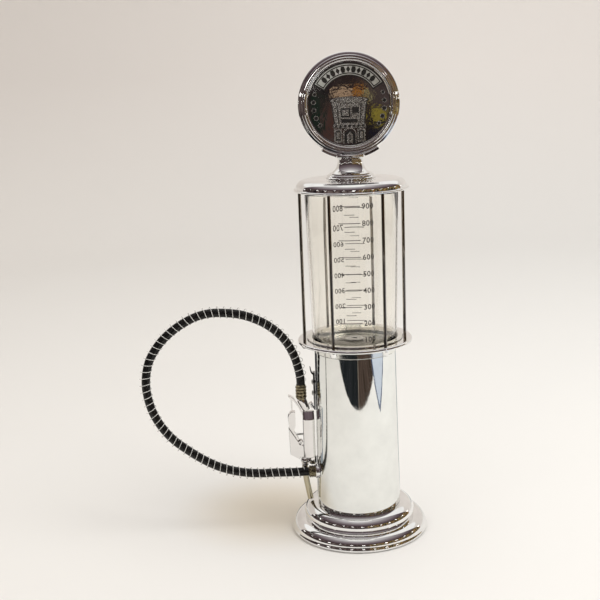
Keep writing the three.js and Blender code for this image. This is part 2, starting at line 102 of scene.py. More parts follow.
def turned(name, profile, sides=128, closed=True, sharp=35, at=(0, 0), place=None):
    """A piece turned about Z from (radius, height) points in millimetres."""
    points = []
    for k in range(sides):
        a = TURN * k / sides
        points += [(r * math.cos(a), r * math.sin(a), z) for r, z in profile]
    size = len(profile)
    faces = []
    for k in range(sides):
        near = k * size
        far = (k + 1) % sides * size
        for i in range(size if closed else size - 1):
            j = (i + 1) % size
            if profile[i][0] < 1e-6 and profile[j][0] < 1e-6:
                continue
            corner = [near + i, far + i, far + j, near + j]
            if profile[i][0] < 1e-6:
                corner.pop(1)
            if profile[j][0] < 1e-6:
                corner.pop(-1)
            faces.append(corner)
    move = place or Matrix.Translation((*at, 0))
    return new_piece(name, [move @ Vector(p) for p in points], faces, sharp)


def fit(piece, body, material, slot, *stands_for):
    """Gives the piece its material, its body and the frame's nodes that it stands for; the slot is not used.
    A piece that bends between two bodies is given none here."""
    piece.data.materials.clear()
    piece.data.materials.append(material)
    if body:
        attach(piece, body)
    if stands_for:
        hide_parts(*stands_for)
    return piece


def keep(name, material):
    """A frame node that stays as it is and takes a finish."""
    nodes[name].data.materials.clear()
    nodes[name].data.materials.append(material)
    return nodes[name]


def finish(name, **values):
    """A material whose constant values sit on the shader's own sockets."""
    material = bpy.data.materials.new(name)
    material.use_nodes = True
    shader = material.node_tree.nodes["Principled BSDF"]
    for socket, value in values.items():
        shader.inputs[socket.replace("_", " ")].default_value = value
    return material


def add(material, kind, inputs=None, **settings):
    """One more node in the material, with its inputs linked or set."""
    made = material.node_tree.nodes.new("ShaderNode" + kind)
    for setting, value in settings.items():
        setattr(made, setting, value)
    for socket, value in (inputs or {}).items():
        if isinstance(value, bpy.types.NodeSocket):
            material.node_tree.links.new(value, made.inputs[socket])
        else:
            made.inputs[socket].default_value = value
    return made


def into(material, socket, value):
    """Links the value to one socket of the material's shader."""
    material.node_tree.links.new(value, material.node_tree.nodes["Principled BSDF"].inputs[socket])


def place_of(material, stretch=(1, 1, 1)):
    """The surface's own place in millimetres, stretched."""
    place = add(material, "TexCoord")
    scale = [s / MM for s in stretch]
    return add(material, "Mapping", {"Vector": place.outputs["Object"], "Scale": scale}).outputs[0]


def noise(material, place, scale, detail=3, roughness=0.5):
    """Fine mottling over the surface, with the scale in grains per millimetre."""
    grain = {"Vector": place, "Scale": scale, "Detail": detail, "Roughness": roughness}
    return add(material, "TexNoise", grain).outputs["Fac"]


def between(material, value, low, high, start=0.3, end=0.7):
    """A number from low to high as the value goes from start to end."""
    made = add(material, "MapRange", {"Value": value, "From Min": start, "From Max": end,
                                      "To Min": low, "To Max": high})
    return made.outputs[0]


def shades(material, value, *stops):
    """A colour that runs through the (place, colour) stops."""
    ramp = add(material, "ValToRGB", {"Fac": value})
    band = ramp.color_ramp
    for k, (where, colour) in enumerate(stops):
        stop = band.elements[k] if k < 2 else band.elements.new(where)
        stop.position = where
        stop.color = (*colour, 1)
    return ramp.outputs["Color"]


def bump(material, height, strength, distance):
    """Raises the surface by the height, which is in millimetres of relief."""
    made = add(material, "Bump", {"Height": height, "Strength": strength, "Distance": distance * MM})
    into(material, "Normal", made.outputs[0])


def grained(name, grain, low, high, relief=None, gloss=None, stretch=(1, 1, 1), **values):
    """A finish with one grain that runs through its colour, its roughness (gloss) and its relief."""
    material = finish(name, **values)
    height = noise(material, place_of(material, stretch), *grain)
    into(material, "Base Color", shades(material, height, low, high))
    if gloss:
        into(material, "Roughness", between(material, height, *gloss))
    if relief:
        bump(material, height, *relief)
    return material


felt = grained("black_felt", (2.2, 6, 0.7), (0.3, (0.006, 0.006, 0.007)), (0.75, (0.035, 0.034, 0.033)),
               relief=(0.7, 0.2), Roughness=0.95, Sheen_Weight=0.4, Sheen_Roughness=0.6)
pad = turned("base_pad_felt", eased([(0, 0), (69, 0), (69, 0.8), (0, 0.8)], 0.2, closed=False))
fit(pad, "pump", felt, "felt", "base_pad")

# ---- Base weight ----
# A grey iron casting that makes the base heavy enough to stand with a full tank.
# It is painted, and three screws go up through it into the column's foot ring.
iron = grained("painted_iron", (0.6, 5), (0.3, (0.05, 0.05, 0.052)), (0.7, (0.11, 0.105, 0.1)),
               relief=(0.6, 0.3), gloss=(0.65, 0.9), Metallic=0.3)
keep("base_weight", iron)

# ---- Base shell ----
# Sheet metal spun over a form into two stacked rolls above a flat rim, then polished and chromed.
# The spinning leaves faint rings round it, and handling leaves smudges.
ROLLS = [((61, 5), (10.2, 9.1)), ((47, 19), (11.8, 10.5))]
SHELL_WALL = 1.8


def arc(cx, cz, rx, rz, start, end, steps):
    """Points round an ellipse from one angle to another, in degrees."""
    points = []
    for k in range(steps + 1):
        a = math.radians(start + (end - start) * k / steps)
        points.append((cx + rx * math.cos(a), cz + rz * math.sin(a)))
    return points


def roll_arc(roll, inset, start, end, steps):
    """Part of one of the shell's two rolls, drawn in by the inset."""
    (cx, cz), (rx, rz) = ROLLS[roll]
    return arc(cx, cz, rx - inset, rz - inset, start, end, steps)


def chrome(name, rings=0.0, drawn=0.0, cast=0.0, smudge=1.0, tint=(0.91, 0.91, 0.905)):
    """Chrome plate: rings from turning, lines from drawing, orange peel from casting, and smudges."""
    metal = finish(name, Metallic=1.0)
    place = place_of(metal)
    film = noise(metal, place, 0.045, 4, 0.6)
    dull = tuple(0.9 * c for c in tint)
    into(metal, "Base Color", shades(metal, film, (0.35, tint), (0.75, dull)))
    wipe = noise(metal, place_of(metal, (1, 1, 0.3)), 0.9, 5, 0.7)
    mixed = add(metal, "Math", {0: film, 1: wipe}, operation="MULTIPLY").outputs[0]
    into(metal, "Roughness", between(metal, mixed, 0.018, 0.018 + 0.07 * smudge, 0.15, 0.5))
    height = noise(metal, place, 0.05, 2)
    parts = [(height, 0.02)]
    if rings:
        axis = add(metal, "SeparateXYZ", {0: place})
        flat = add(metal, "CombineXYZ", {0: axis.outputs[0], 1: axis.outputs[1]})
        radius = add(metal, "VectorMath", {0: flat.outputs[0]}, operation="LENGTH").outputs["Value"]
        groove = add(metal, "CombineXYZ", {0: radius, 1: axis.outputs[2]})
        parts.append((noise(metal, groove.outputs[0], 1.1, 3), rings))
    if drawn:
        parts.append((noise(metal, place_of(metal, (1, 1, 0.004)), 0.35, 3), drawn))
    if cast:
        parts.append((noise(metal, place, 0.22, 2), cast))
    total = None
    for value, weight in parts:
        scaled = add(metal, "Math", {0: value, 1: weight}, operation="MULTIPLY").outputs[0]
        total = scaled if total is None else add(metal, "Math", {0: total, 1: scaled}).outputs[0]
    bump(metal, total, 1.0, 1.0)
    return metal


spun_chrome = chrome("spun_chrome", rings=0.012)
shell = [(70.6, 0.9), (71.9, 1.1), (72.4, 2), (72.4, 3.2), (72.0, 3.8)]
shell += roll_arc(0, 0, 4, 88, 22) + [(59.6, 14.25)]
shell += roll_arc(1, 0, -26, 90, 26) + [(30, 29.5), (30, 27.7)]
shell += roll_arc(1, SHELL_WALL, 90, 0, 10) + [(55.6, 13.2), (60, 12.3)]
shell += roll_arc(0, SHELL_WALL, 84, 6, 10) + [(69.3, 0.9)]
fit(turned("base_shell_spun", shell, 192), "pump", spun_chrome, "chrome", "base_shell")

# ---- Foot ring and base screws ----
# A turned steel ring inside the foot of the column takes three round-headed screws
# that come up through the weight and clamp the base, the shell and the column together.
steel = grained("plated_steel", (0.5, 4), (0.3, (0.46, 0.46, 0.45)), (0.7, (0.62, 0.62, 0.6)),
                relief=(0.5, 0.02), gloss=(0.22, 0.42), stretch=(1, 1, 6), Metallic=1.0)
keep("column_foot_ring", steel)
for k in (1, 2, 3):
    keep(f"base_screw_{k}", steel)

# ---- Column ----
# A drawn tube with a slight taper, chromed outside; drawing leaves faint upright lines.
# Its foot stands on the base and its top holds the cup of the tank.
COLUMN_FOOT = 44.4
COLUMN_HEAD = 42.6
COLUMN_WALL = 1.6
COLUMN_LOW = 29.8
COLUMN_TOP = 197
drawn_chrome = chrome("drawn_chrome", drawn=0.018, tint=(0.86, 0.875, 0.855))
column = [(COLUMN_FOOT - COLUMN_WALL, COLUMN_LOW)]
for k in range(13):
    t = k / 12
    column.append((COLUMN_FOOT + (COLUMN_HEAD - COLUMN_FOOT) * t, COLUMN_LOW + (COLUMN_TOP - COLUMN_LOW) * t))
column.append((COLUMN_HEAD - COLUMN_WALL, COLUMN_TOP))
fit(turned("column_drawn_tube", eased(column, 0.3), 256), "pump", drawn_chrome, "chrome", "column_tube")

# ---- Neck cup ----
# A turned cup on the column that the glass stands in. Its band shows below the collar,
# and its thin flange shows through the foot of the glass.
cup = [(6.4, 197.3), (37.5, 197.3), (37.5, 191), (40.4, 191), (40.4, 197.3), (43.2, 197.3), (43.2, 206.3),
       (45.4, 206.3), (45.4, 210.7), (50, 210.7), (50, 211.6), (49.6, 212), (44.8, 212), (43.2, 209.2),
       (41.9, 206), (41.9, 199.3), (6.4, 199.3)]
cup_chrome = chrome("cup_chrome", rings=0.02, smudge=3.5, tint=(0.84, 0.84, 0.8))
fit(turned("neck_cup_turned", eased(cup, 0.35)), "pump", cup_chrome, "chrome", "neck_cup")

# ---- Tank collar ----
# A flat chromed ring with a rounded edge. Six holes take the feet of the rods,
# which clamp the glass between this ring and the top cover.
collar = [(45.8, 206.6), (58, 206.6), (59.4, 207.4), (59.6, 208.5), (59.3, 209.6), (58.2, 210.4), (45.8, 210.4)]
fit(turned("tank_collar_ring", eased(collar, 0.6, steps=3)), "pump", spun_chrome, "chrome", "tank_collar")

# ---- Gasket and drain ----
# A grey rubber gasket cushions the glass. A nickel-plated steel fitting with its washer and nut goes
# through the floor of the tank, and its barbed tail takes the silicone tube inside the column.
gasket_rubber = grained("gasket_rubber", (0.3, 4), (0.35, (0.16, 0.16, 0.115)), (0.65, (0.42, 0.41, 0.33)),
                        relief=(0.3, 0.05), Roughness=0.55)
gasket = eased([(12, 199.6), (36, 199.6), (36, 202.2), (12, 202.2)], 0.5)
fit(turned("lower_gasket_ring", gasket, 96), "pump", gasket_rubber, "gasket_rubber", "lower_gasket")

silicone = grained("milky_silicone", (0.25, 4), (0.3, (0.68, 0.67, 0.62)), (0.7, (0.8, 0.79, 0.75)),
                   relief=(0.2, 0.05), Roughness=0.4, Subsurface_Weight=0.2,
                   Subsurface_Radius=(0.002, 0.002, 0.002))
washer = eased([(5.1, 206.8), (9.5, 206.8), (9.5, 207.4), (5.1, 207.4)], 0.15)
fit(turned("drain_washer_ring", washer, 64), "pump", silicone, "silicone", "drain_washer")
keep("inner_tube", silicone)

barb = [(2.6, 180), (4, 180), (4.4, 182), (4, 184), (4.4, 186), (4, 188), (4.8, 188),
        (4.8, 207.7), (9.5, 207.7), (9.5, 208.6), (9.2, 209.3), (2.6, 209.3)]
fit(turned("drain_fitting_turned", eased(barb, 0.2), 64), "pump", steel, "steel", "drain_fitting")
keep("drain_nut", steel)

# ---- Glass tank ----
# A blown jar, clear and slightly green at its edges, wider at the mouth than at the foot.
# Its rim and foot are fire-polished, so they are round.
GLASS_FOOT = 202.5
GLASS_CORNER = 216.5
GLASS_TOP = 362.4
GLASS_WALL = 2.2
GLASS_FOOT_RADIUS = 44.1
GLASS_MOUTH_RADIUS = 47.5
glass = grained("clear_glass", (0.04, 2), (0.3, (0.99, 0.98, 0.95)), (0.7, (0.985, 0.97, 0.935)),
                relief=(0.5, 0.05), stretch=(1, 1, 0.4), Transmission_Weight=1.0, IOR=1.46, Roughness=0.0)
side = [(44.95, 252), (45.8, 290), (46.65, 328)]
jar = [(5.3, GLASS_FOOT)] + arc(GLASS_FOOT_RADIUS - 14, GLASS_CORNER, 14, 14, -90, 0, 14) + side
jar += [(GLASS_MOUTH_RADIUS, GLASS_TOP - GLASS_WALL / 2)]
jar += arc(GLASS_MOUTH_RADIUS - 1.1, GLASS_TOP - 1.1, 1.1, 1.1, 0, 180, 10)
jar += [(r - GLASS_WALL, z) for r, z in reversed(side)]
jar += arc(GLASS_FOOT_RADIUS - 14, 217.5, 14 - GLASS_WALL, 11, 0, -90, 14) + [(5.3, 206.5)]
fit(turned("glass_jar", jar, 192), "pump", glass, "glass", "glass_tank")

# ---- Printed scale ----
# Dark enamel printed on the outside of the glass, once at the front and once at the back:
# a long line and a number at every hundred millilitres, a short line at every fifty.
ZERO_MARK = 201.2
MARK_STEP = 16.83
LONG_LINE = (-18, 3.8)
SHORT_LINE = (-12, -1.8)
DIGIT_HEIGHT = 7.6
ink = grained("printed_enamel", (1.6, 4, 0.7), (0.35, (0.02, 0.018, 0.016)), (0.75, (0.09, 0.082, 0.075)),
              relief=(0.3, 0.02), Roughness=0.5)


def glass_radius(z):
    """The outside of the tank at a height."""
    up = (z - GLASS_CORNER) / (GLASS_TOP - GLASS_CORNER)
    return GLASS_FOOT_RADIUS + (GLASS_MOUTH_RADIUS - GLASS_FOOT_RADIUS) * up


def printed(name, turn, drop):
    """The scale's lines and numbers, laid on the glass at a turn about the axis and a drop from the marks."""
    points = []
    faces = []

    def strip(x0, x1, z0, z1):
        first = len(points)
        steps = max(1, round((x1 - x0) / 1.5))
        for k in range(steps + 1):
            x = x0 + (x1 - x0) * k / steps
            points.extend([(x, z0), (x, z1)])
        for k in range(steps):
            a = first + 2 * k
            faces.append((a, a + 2, a + 3, a + 1))

    for hundreds in range(2, 19):
        z = ZERO_MARK - drop + MARK_STEP * hundreds / 2
        if hundreds % 2:
            strip(*SHORT_LINE, z - 0.26, z + 0.26)
            continue
        strip(*LONG_LINE, z - 0.33, z + 0.33)
        letters = bpy.data.curves.new(name, "FONT")
        letters.body = f"{50 * hundreds}"
        letters.size = DIGIT_HEIGHT
        letters.offset = 0.1
        letters.space_character = 1.08
        letters.resolution_u = 3
        writing = bpy.data.objects.new(name, letters)
        shape = bpy.data.meshes.new_from_object(writing)
        cut = bmesh.new()
        cut.from_mesh(shape)
        bmesh.ops.triangulate(cut, faces=cut.faces)
        first = len(points)
        points.extend((5.4 + v.co.x, z - 2.7 + v.co.y) for v in cut.verts)
        faces.extend(tuple(first + v.index for v in face.verts) for face in cut.faces)
        cut.free()
        bpy.data.objects.remove(writing)
        bpy.data.curves.remove(letters)
        bpy.data.meshes.remove(shape)
    count = len(points)
    solid = []
    for lift in (0.02, 0.1):
        for x, z in points:
            radius = glass_radius(z) + lift
            a = turn + x / radius
            solid.append((radius * math.sin(a), -radius * math.cos(a), z))
    inner = [tuple(reversed(face)) for face in faces]
    outer = [tuple(count + i for i in face) for face in faces]
    edges = {}
    for face in faces:
        for i, a in enumerate(face):
            edges[(a, face[(i + 1) % len(face)])] = True
    sides = [(a, b, count + b, count + a) for a, b in edges if (b, a) not in edges]
    return new_piece(name, solid, inner + outer + sides)


fit(printed("scale_print_front", 0, 0), "pump", ink, "glass")
fit(printed("scale_print_back", math.pi, 0.9), "pump", ink, "glass")

# ---- Rods and their nuts ----
# Six polished steel rods stand in domed nuts under the collar and are screwed up into the cover.
# They squeeze the glass between its gaskets and cage it against knocks.
ROD_CIRCLE = 52.5
rod_metal = chrome("polished_rod", drawn=0.01, smudge=3, tint=(0.25, 0.225, 0.2))
for k in range(6):
    a = TURN * k / 6
    at = (ROD_CIRCLE * math.cos(a), ROD_CIRCLE * math.sin(a))
    rod = [(0, 201.8), (1.3, 201.8), (1.6, 202.2), (1.6, 285), (1.6, 369.2), (1.2, 369.6), (0, 369.6)]
    fit(turned(f"tie_rod_turned_{k + 1}", rod, 24, at=at), "pump", rod_metal, "rod_metal", f"tie_rod_{k + 1}")
    nut = [(0, 199.8), (1, 199.9), (1.9, 200.3), (2.7, 201.2), (3.4, 202.4), (3.4, 206.3), (2, 206.3),
           (2, 201.4), (0, 201.4)]
    fit(turned(f"rod_nut_turned_{k + 1}", nut, 32, at=at), "pump", spun_chrome, "chrome", f"rod_nut_{k + 1}")

# ---- Top cover ----
# A spun dome with a thin rolled flange, drilled blind for the rods and with a round filler mouth.
# A silicone ring under it seals the rim of the glass.
seal_ring = eased([(43.4, 362.7), (48.8, 362.7), (48.8, 363.9), (43.4, 363.9)], 0.3)
fit(turned("upper_gasket_ring", seal_ring, 96), "pump", silicone, "silicone", "upper_gasket")
cover = [(43, 364.2), (57.6, 364.2), (58.3, 364.6), (58.5, 365.2), (58.4, 365.9), (57.9, 366.4), (57, 366.6),
         (56.1, 366.9)]
cover += arc(46.5, 368.2, 9.5, 7.2, 0, 90, 18) + [(34, 375.5), (22.4, 375.6), (21.8, 375.2)]
cover += [(21.8, 366.2), (24, 366.2), (24, 373.6), (43, 373)]
fit(turned("top_cover_spun", cover, 192), "pump", spun_chrome, "chrome", "top_cover")

# ---- Filler cap ----
# A turned plug with a ribbed silicone seal and a stepped pedestal above it that flares to a neck.
# The slot across its head takes the saddle of the sign.
seal = [(18.8, 368.2), (20.8, 368.2), (21.4, 369), (21.1, 370.4), (21.4, 371.8), (21.1, 373.2), (20.8, 374.2),
        (18.8, 374.2)]
fit(turned("cap_seal_ribbed", eased(seal, 0.3), 96), "seal", silicone, "silicone", "cap_seal")
SIGN_CENTRE = 449.2
pedestal = [(0, 364.6), (20.4, 364.6), (20.8, 365), (20.8, 367.9), (18.5, 367.9), (18.5, 375.9), (25, 375.9),
            (25.4, 376.4), (25.4, 377.1), (24.8, 377.6), (23.6, 378.1), (23.6, 379.2), (23.2, 379.7),
            (21.6, 380.3)]
pedestal += arc(23, 393.6, 10.2, 12.6, 262, 180, 14)
pedestal += [(12.9, 394.9), (14, 396.3), (15.3, 397.2), (15.4, 398), (15.4, 399.2), (14.9, 399.9), (14.3, 400),
             (0, 400)]
cap = turned("filler_cap_turned", pedestal, 128, closed=False)


def cut_away(piece, *tools):
    """Takes the tools' shapes out of the piece and throws the tools away."""
    for tool in tools:
        step = piece.modifiers.new("cut", "BOOLEAN")
        step.object = tool
        step.operation = "DIFFERENCE"
        step.solver = "EXACT"
    bpy.context.view_layer.update()
    shape = bpy.data.meshes.new_from_object(piece.evaluated_get(bpy.context.evaluated_depsgraph_get()))
    piece.modifiers.clear()
    piece.data = shape
    shape.shade_smooth()
    shape.set_sharp_from_angle(angle=math.radians(30))
    for tool in tools:
        bpy.data.objects.remove(tool)
    return piece


FACE_FRONT = Matrix.Translation((0, 0, SIGN_CENTRE)) @ Matrix.Rotation(math.pi / 2, 4, "X")
slot_tool = turned("slot_tool", [(0, -4.9), (54.1, -4.9), (54.1, 4.9), (0, 4.9)], 128, place=FACE_FRONT)
socket_tool = new_piece("socket_tool", [(x, y, z) for x in (-4, 4) for y in (-4, 4) for z in (386, 398)],
                        [(0, 1, 3, 2), (4, 6, 7, 5), (0, 4, 5, 1), (2, 3, 7, 6), (0, 2, 6, 4), (1, 5, 7, 3)])
turned_chrome = chrome("turned_chrome", rings=0.05)
fit(cut_away(cap, slot_tool, socket_tool), "cap", turned_chrome, "chrome", "filler_cap")

# ---- Sign saddle and rim ----
# A curved saddle with a square stud is brazed under the rim and drops into the cap's head.
# The rim is a heavy turned ring with a thin outer step; it holds the plaque and the back plate.
SADDLE_HALF = 33


def crossways(name, outline, y0, y1, ease=0.0):
    """A plate cut to an outline of (x, z) points, from y0 to y1, with its edges eased."""
    count = len(outline)
    points = [(x, y0, z) for x, z in outline] + [(x, y1, z) for x, z in outline]
    faces = [tuple(range(count)), tuple(range(2 * count - 1, count - 1, -1))]
    faces += [(i, (i + 1) % count, count + (i + 1) % count, count + i) for i in range(count)]
    piece = new_piece(name, points, faces, 30)
    if ease:
        ease_edges(piece, ease)
    return piece


def ease_edges(piece, width, steps=2, angle=28):
    """Rounds the piece's hard edges, as polishing does, and keeps its flats flat."""
    shape = bmesh.new()
    shape.from_mesh(piece.data)
    hard = [e for e in shape.edges if len(e.link_faces) == 2 and e.calc_face_angle() > math.radians(angle)]
    bmesh.ops.bevel(shape, geom=hard, offset=width * MM, segments=steps, profile=0.6, affect="EDGES",
                    clamp_overlap=True)
    shape.to_mesh(piece.data)
    shape.free()
    piece.data.shade_smooth()
    piece.data.set_sharp_from_angle(angle=math.radians(50))
    piece.modifiers.new("flats", "WEIGHTED_NORMAL").keep_sharp = True


plain_chrome = chrome("plain_chrome")
saddle = arc(0, SIGN_CENTRE, 53.8, 53.8, 270 - SADDLE_HALF, 270 + SADDLE_HALF, 32)
saddle += arc(0, SIGN_CENTRE, 51.1, 51.1, 270 + SADDLE_HALF, 270 - SADDLE_HALF, 32)
saddle_piece = crossways("sign_saddle_curved", saddle, -4.4, 4.4, 0.7)
stud = [(-3.6, 388), (3.6, 388), (3.6, 396), (-3.6, 396)]
stud_piece = crossways("sign_saddle_stud", stud, -3.6, 3.6, 0.4)
fit(saddle_piece, "cap", plain_chrome, "chrome", "sign_saddle")
fit(stud_piece, "cap", plain_chrome, "chrome", "sign_saddle")
rim = [(42.6, -2.9), (42.75, -3.6), (43, -3.85), (43.4, -4), (44.2, -4.1), (44.9, -3.95), (45.15, -3.6),
       (45.45, -3.4), (46.4, -3.45), (47.4, -3.3), (47.75, -3.1), (47.9, -2.8), (48.2, -2.65), (49.2, -2.6),
       (50.2, -2.3), (50.7, -1.9), (50.9, -1.4)]
rim += [(r, -t) for r, t in reversed(rim)]
fit(turned("sign_rim_turned", rim, 192, place=FACE_FRONT), "cap", plain_chrome, "chrome", "sign_rim")

# ---- Sign plaque and back plate ----
# A disc struck with a plain old drum pump between two rows of rings, under a curved band of lozenges.
# The disc is chromed, the relief is left satin and its lines are filled with black.
# A plain turned disc closes the back of the rim.
FACE = 2.2
BAND_MIDDLE = 33.75
RING_CIRCLE = 35.5
struck_metal = chrome("struck_plaque", cast=0.03, smudge=1.2, tint=(0.8, 0.79, 0.77))
# The disc's sunken field is painted darker than its raised edge: painted shade in the recess, multiplied into
# the chrome's colour.
depth = add(struck_metal, "SeparateXYZ", {0: place_of(struck_metal)}).outputs[1]
ramp = next(n for n in struck_metal.node_tree.nodes if n.type == "VALTORGB")
recess_shade = between(struck_metal, depth, 1.0, 0.62, -2.9, -2.2)
dark = add(struck_metal, "Mix", {"Factor": 1.0, "A": ramp.outputs["Color"], "B": recess_shade},
           data_type="RGBA", blend_type="MULTIPLY")
into(struck_metal, "Base Color", dark.outputs["Result"])


def joined(name, pieces):
    """One mesh from several, such as the raised parts of a struck disc."""
    whole = bmesh.new()
    for piece in pieces:
        whole.from_mesh(piece.data)
        bpy.data.objects.remove(piece)
    mesh = bpy.data.meshes.new(name)
    whole.to_mesh(mesh)
    whole.free()
    made = bpy.data.objects.new(name, mesh)
    bpy.context.scene.collection.objects.link(made)
    return made


def on_face(outline, top, ease):
    """A raised part of the plaque with an outline of (x, height above the sign's centre)."""
    shape = crossways("raised", [(x, SIGN_CENTRE + z) for x, z in outline], -top, 0.4 - FACE)
    if ease:
        shape.data.update()
        ease_edges(shape, ease)
        shape.modifiers.clear()
    return shape


def arc_band(r_in, r_out, start, end, steps):
    """A curved strip about the sign's centre, between two radii."""
    return arc(0, 0, r_out, r_out, start, end, steps) + arc(0, 0, r_in, r_in, end, start, steps)


def button(x, z, r, top, ring=0.0, sides=16):
    """A round stud, or a raised ring when it has a ring width."""
    dome = [(0, FACE - 0.3), (r, FACE - 0.3), (r, top - 0.35)]
    if ring:
        dome += [(r - 0.15 * ring, top - 0.1), (r - 0.5 * ring, top), (r - 0.85 * ring, top - 0.1)]
        dome += [(r - ring, FACE), (0, FACE)]
    else:
        dome += [(0.86 * r, top - 0.12), (0.6 * r, top), (0, top)]
    move = Matrix.Translation((x, 0, SIGN_CENTRE + z)) @ Matrix.Rotation(math.pi / 2, 4, "X")
    return turned("stud", dome, sides, place=move)


def oblong(x0, x1, z0, z1):
    """The corners of an upright rectangle."""
    return [(x0, z1), (x0, z0), (x1, z0), (x1, z1)]


def stroke(points, width, top):
    """A raised line of even width along (x, z) points."""
    left = []
    right = []
    for i, (x, z) in enumerate(points):
        x0, z0 = points[max(i - 1, 0)]
        x1, z1 = points[min(i + 1, len(points) - 1)]
        length = math.hypot(x1 - x0, z1 - z0)
        nx, nz = -(z1 - z0) / length * width / 2, (x1 - x0) / length * width / 2
        left.append((x + nx, z + nz))
        right.append((x - nx, z - nz))
    return on_face(left + right[::-1], top, 0.15)


disc = [(0, 0.3), (42, 0.3), (42.3, 0.6), (42.3, 2.5), (42, 2.75), (41.3, 2.75), (40.9, 2.4), (40.7, FACE),
        (0, FACE)]
mirror_parts = [turned("disc", disc, 160, closed=False, place=FACE_FRONT)]
satin_parts = []

# The curved band with its double border and its lozenges.
banner_parts = [on_face(arc_band(28.6, 39.2, 31.5, 148.5, 40), 2.45, 0.1)]
inked_parts = [on_face(arc_band(40.35, 40.6, 0, 359.9, 120), 2.5, 0)]
for inset in (0, 1.9):
    inner, outer = 27.5 + inset, 40 - inset
    edge = inset * 1.7
    inked_parts.append(on_face(arc_band(outer - 1.1, outer, 30 + edge, 150 - edge, 48), 2.75, 0.2))
    inked_parts.append(on_face(arc_band(inner, inner + 1.1, 30 + edge, 150 - edge, 48), 2.75, 0.2))
    for turn in (30 + edge, 150 - edge):
        a = math.radians(turn)
        ends = [(r * math.cos(a), r * math.sin(a)) for r in (inner, outer)]
        inked_parts.append(stroke(ends, 1.1, 2.75))
for k in range(11):
    a = math.radians(45 + 9 * k)
    across, along = (2.1, 3.2) if k % 2 else (2.4, 3)
    out = Vector((math.cos(a), math.sin(a)))
    middle = BAND_MIDDLE * out
    side = Vector((-out.y, out.x))
    if k % 2:
        corners = [out * along, side * across, -out * along, -side * across]
    else:
        corners = [out * along + side * 1.5, out * along - side * 1.5, -side * across,
                   -out * along - side * 1.5, -out * along + side * 1.5, side * across]
    inked_parts.append(on_face([tuple(middle + c) for c in corners], 2.8, 0.1))

# Five rings on each side.
for k in range(5):
    a = math.radians(-34 + 12.75 * k)
    across = 2.2 + 0.3 * (k in (1, 2, 3))
    for mirror in (-1, 1):
        x, z = mirror * RING_CIRCLE * math.cos(a), RING_CIRCLE * math.sin(a)
        satin_parts.append(button(x, z, across, 2.9, 0.9, 28))
        inked_parts.append(button(x, z, across - 0.9, 2.6, sides=28))

# The pump's drum: its lid, its beaded sides and its windows.
for size, top, parts in ((1.08, 2.6, inked_parts), (1, 2.8, satin_parts), (0.8, 2.95, inked_parts),
                         (0.74, 3.05, satin_parts)):
    parts.append(on_face(arc(0, 3.5, 18.6 * size, 3.6 * size, 0, 351, 39), top, 0.2))
satin_parts.append(on_face([(-17.2, 1.5), (-14.6, -20), (14.6, -20), (17.2, 1.5)], 2.65, 0.3))
for mirror in (-1, 1):
    inked_parts.append(stroke([(mirror * 17.6, 1), (mirror * 15, -19.6)], 0.7, 2.9))
    inked_parts.append(stroke([(mirror * 12.2, 0.5), (mirror * 10.6, -19)], 0.8, 2.9))
    for k in range(9):
        t = k / 8
        satin_parts.append(button(mirror * (15.2 - 1.8 * t), -0.3 - 18 * t, 0.9, 3.2, sides=10))
for outline in ([(-9, -4), (-8.4, -13), (1, -13), (1, -4)], [(3, -3), (3, -9), (9.4, -9), (9.8, -3)],
                [(-8.2, -14.6), (-8, -18.4), (8, -18.4), (8.2, -14.6)]):
    inked_parts.append(on_face(outline, 2.85, 0.3))
satin_parts.append(on_face([(-7.6, -5.4), (-7.2, -11.6), (-0.4, -11.6), (-0.4, -5.4)], 3.0, 0.3))

# The stand below the drum: a riveted band, two panels and an arched door.
satin_parts.append(on_face(oblong(-16.4, 16.4, -23.6, -19.4), 3.0, 0.5))
for k in range(7):
    inked_parts.append(button(-13.5 + 4.5 * k, -21.5, 1.4, 3.2, sides=12))
for x0, x1 in ((-15.8, -7.6), (7.6, 15.8)):
    satin_parts.append(on_face(oblong(x0, x1, -37.6, -24.2), 2.7, 0.4))
    inked_parts.append(on_face(oblong(x0 + 1.6, x1 - 1.6, -35.6, -26), 2.85, 0.5))
    satin_parts.append(on_face(oblong(x0 + 2.5, x1 - 2.5, -34.4, -27), 3.05, 0.5))
arch = [(-6.2, -38.6)] + arc(0, -28.8, 6.2, 5, 180, 0, 12) + [(6.2, -38.6)]
satin_parts.append(stroke(arch, 1.2, 3.1))
inked_parts.append(on_face([(-5.4, -38.6), (-5.2, -29), (0, -24.8), (5.2, -29), (5.4, -38.6)], 2.6, 0.4))
satin_parts.append(on_face([(-3, -38.6), (-3, -30), (0, -27), (3, -30), (3, -38.6)], 2.85, 0.4))
for k in range(4):
    inked_parts.append(button(0, -30.2 - 2.3 * k, 0.9, 3.0, sides=10))

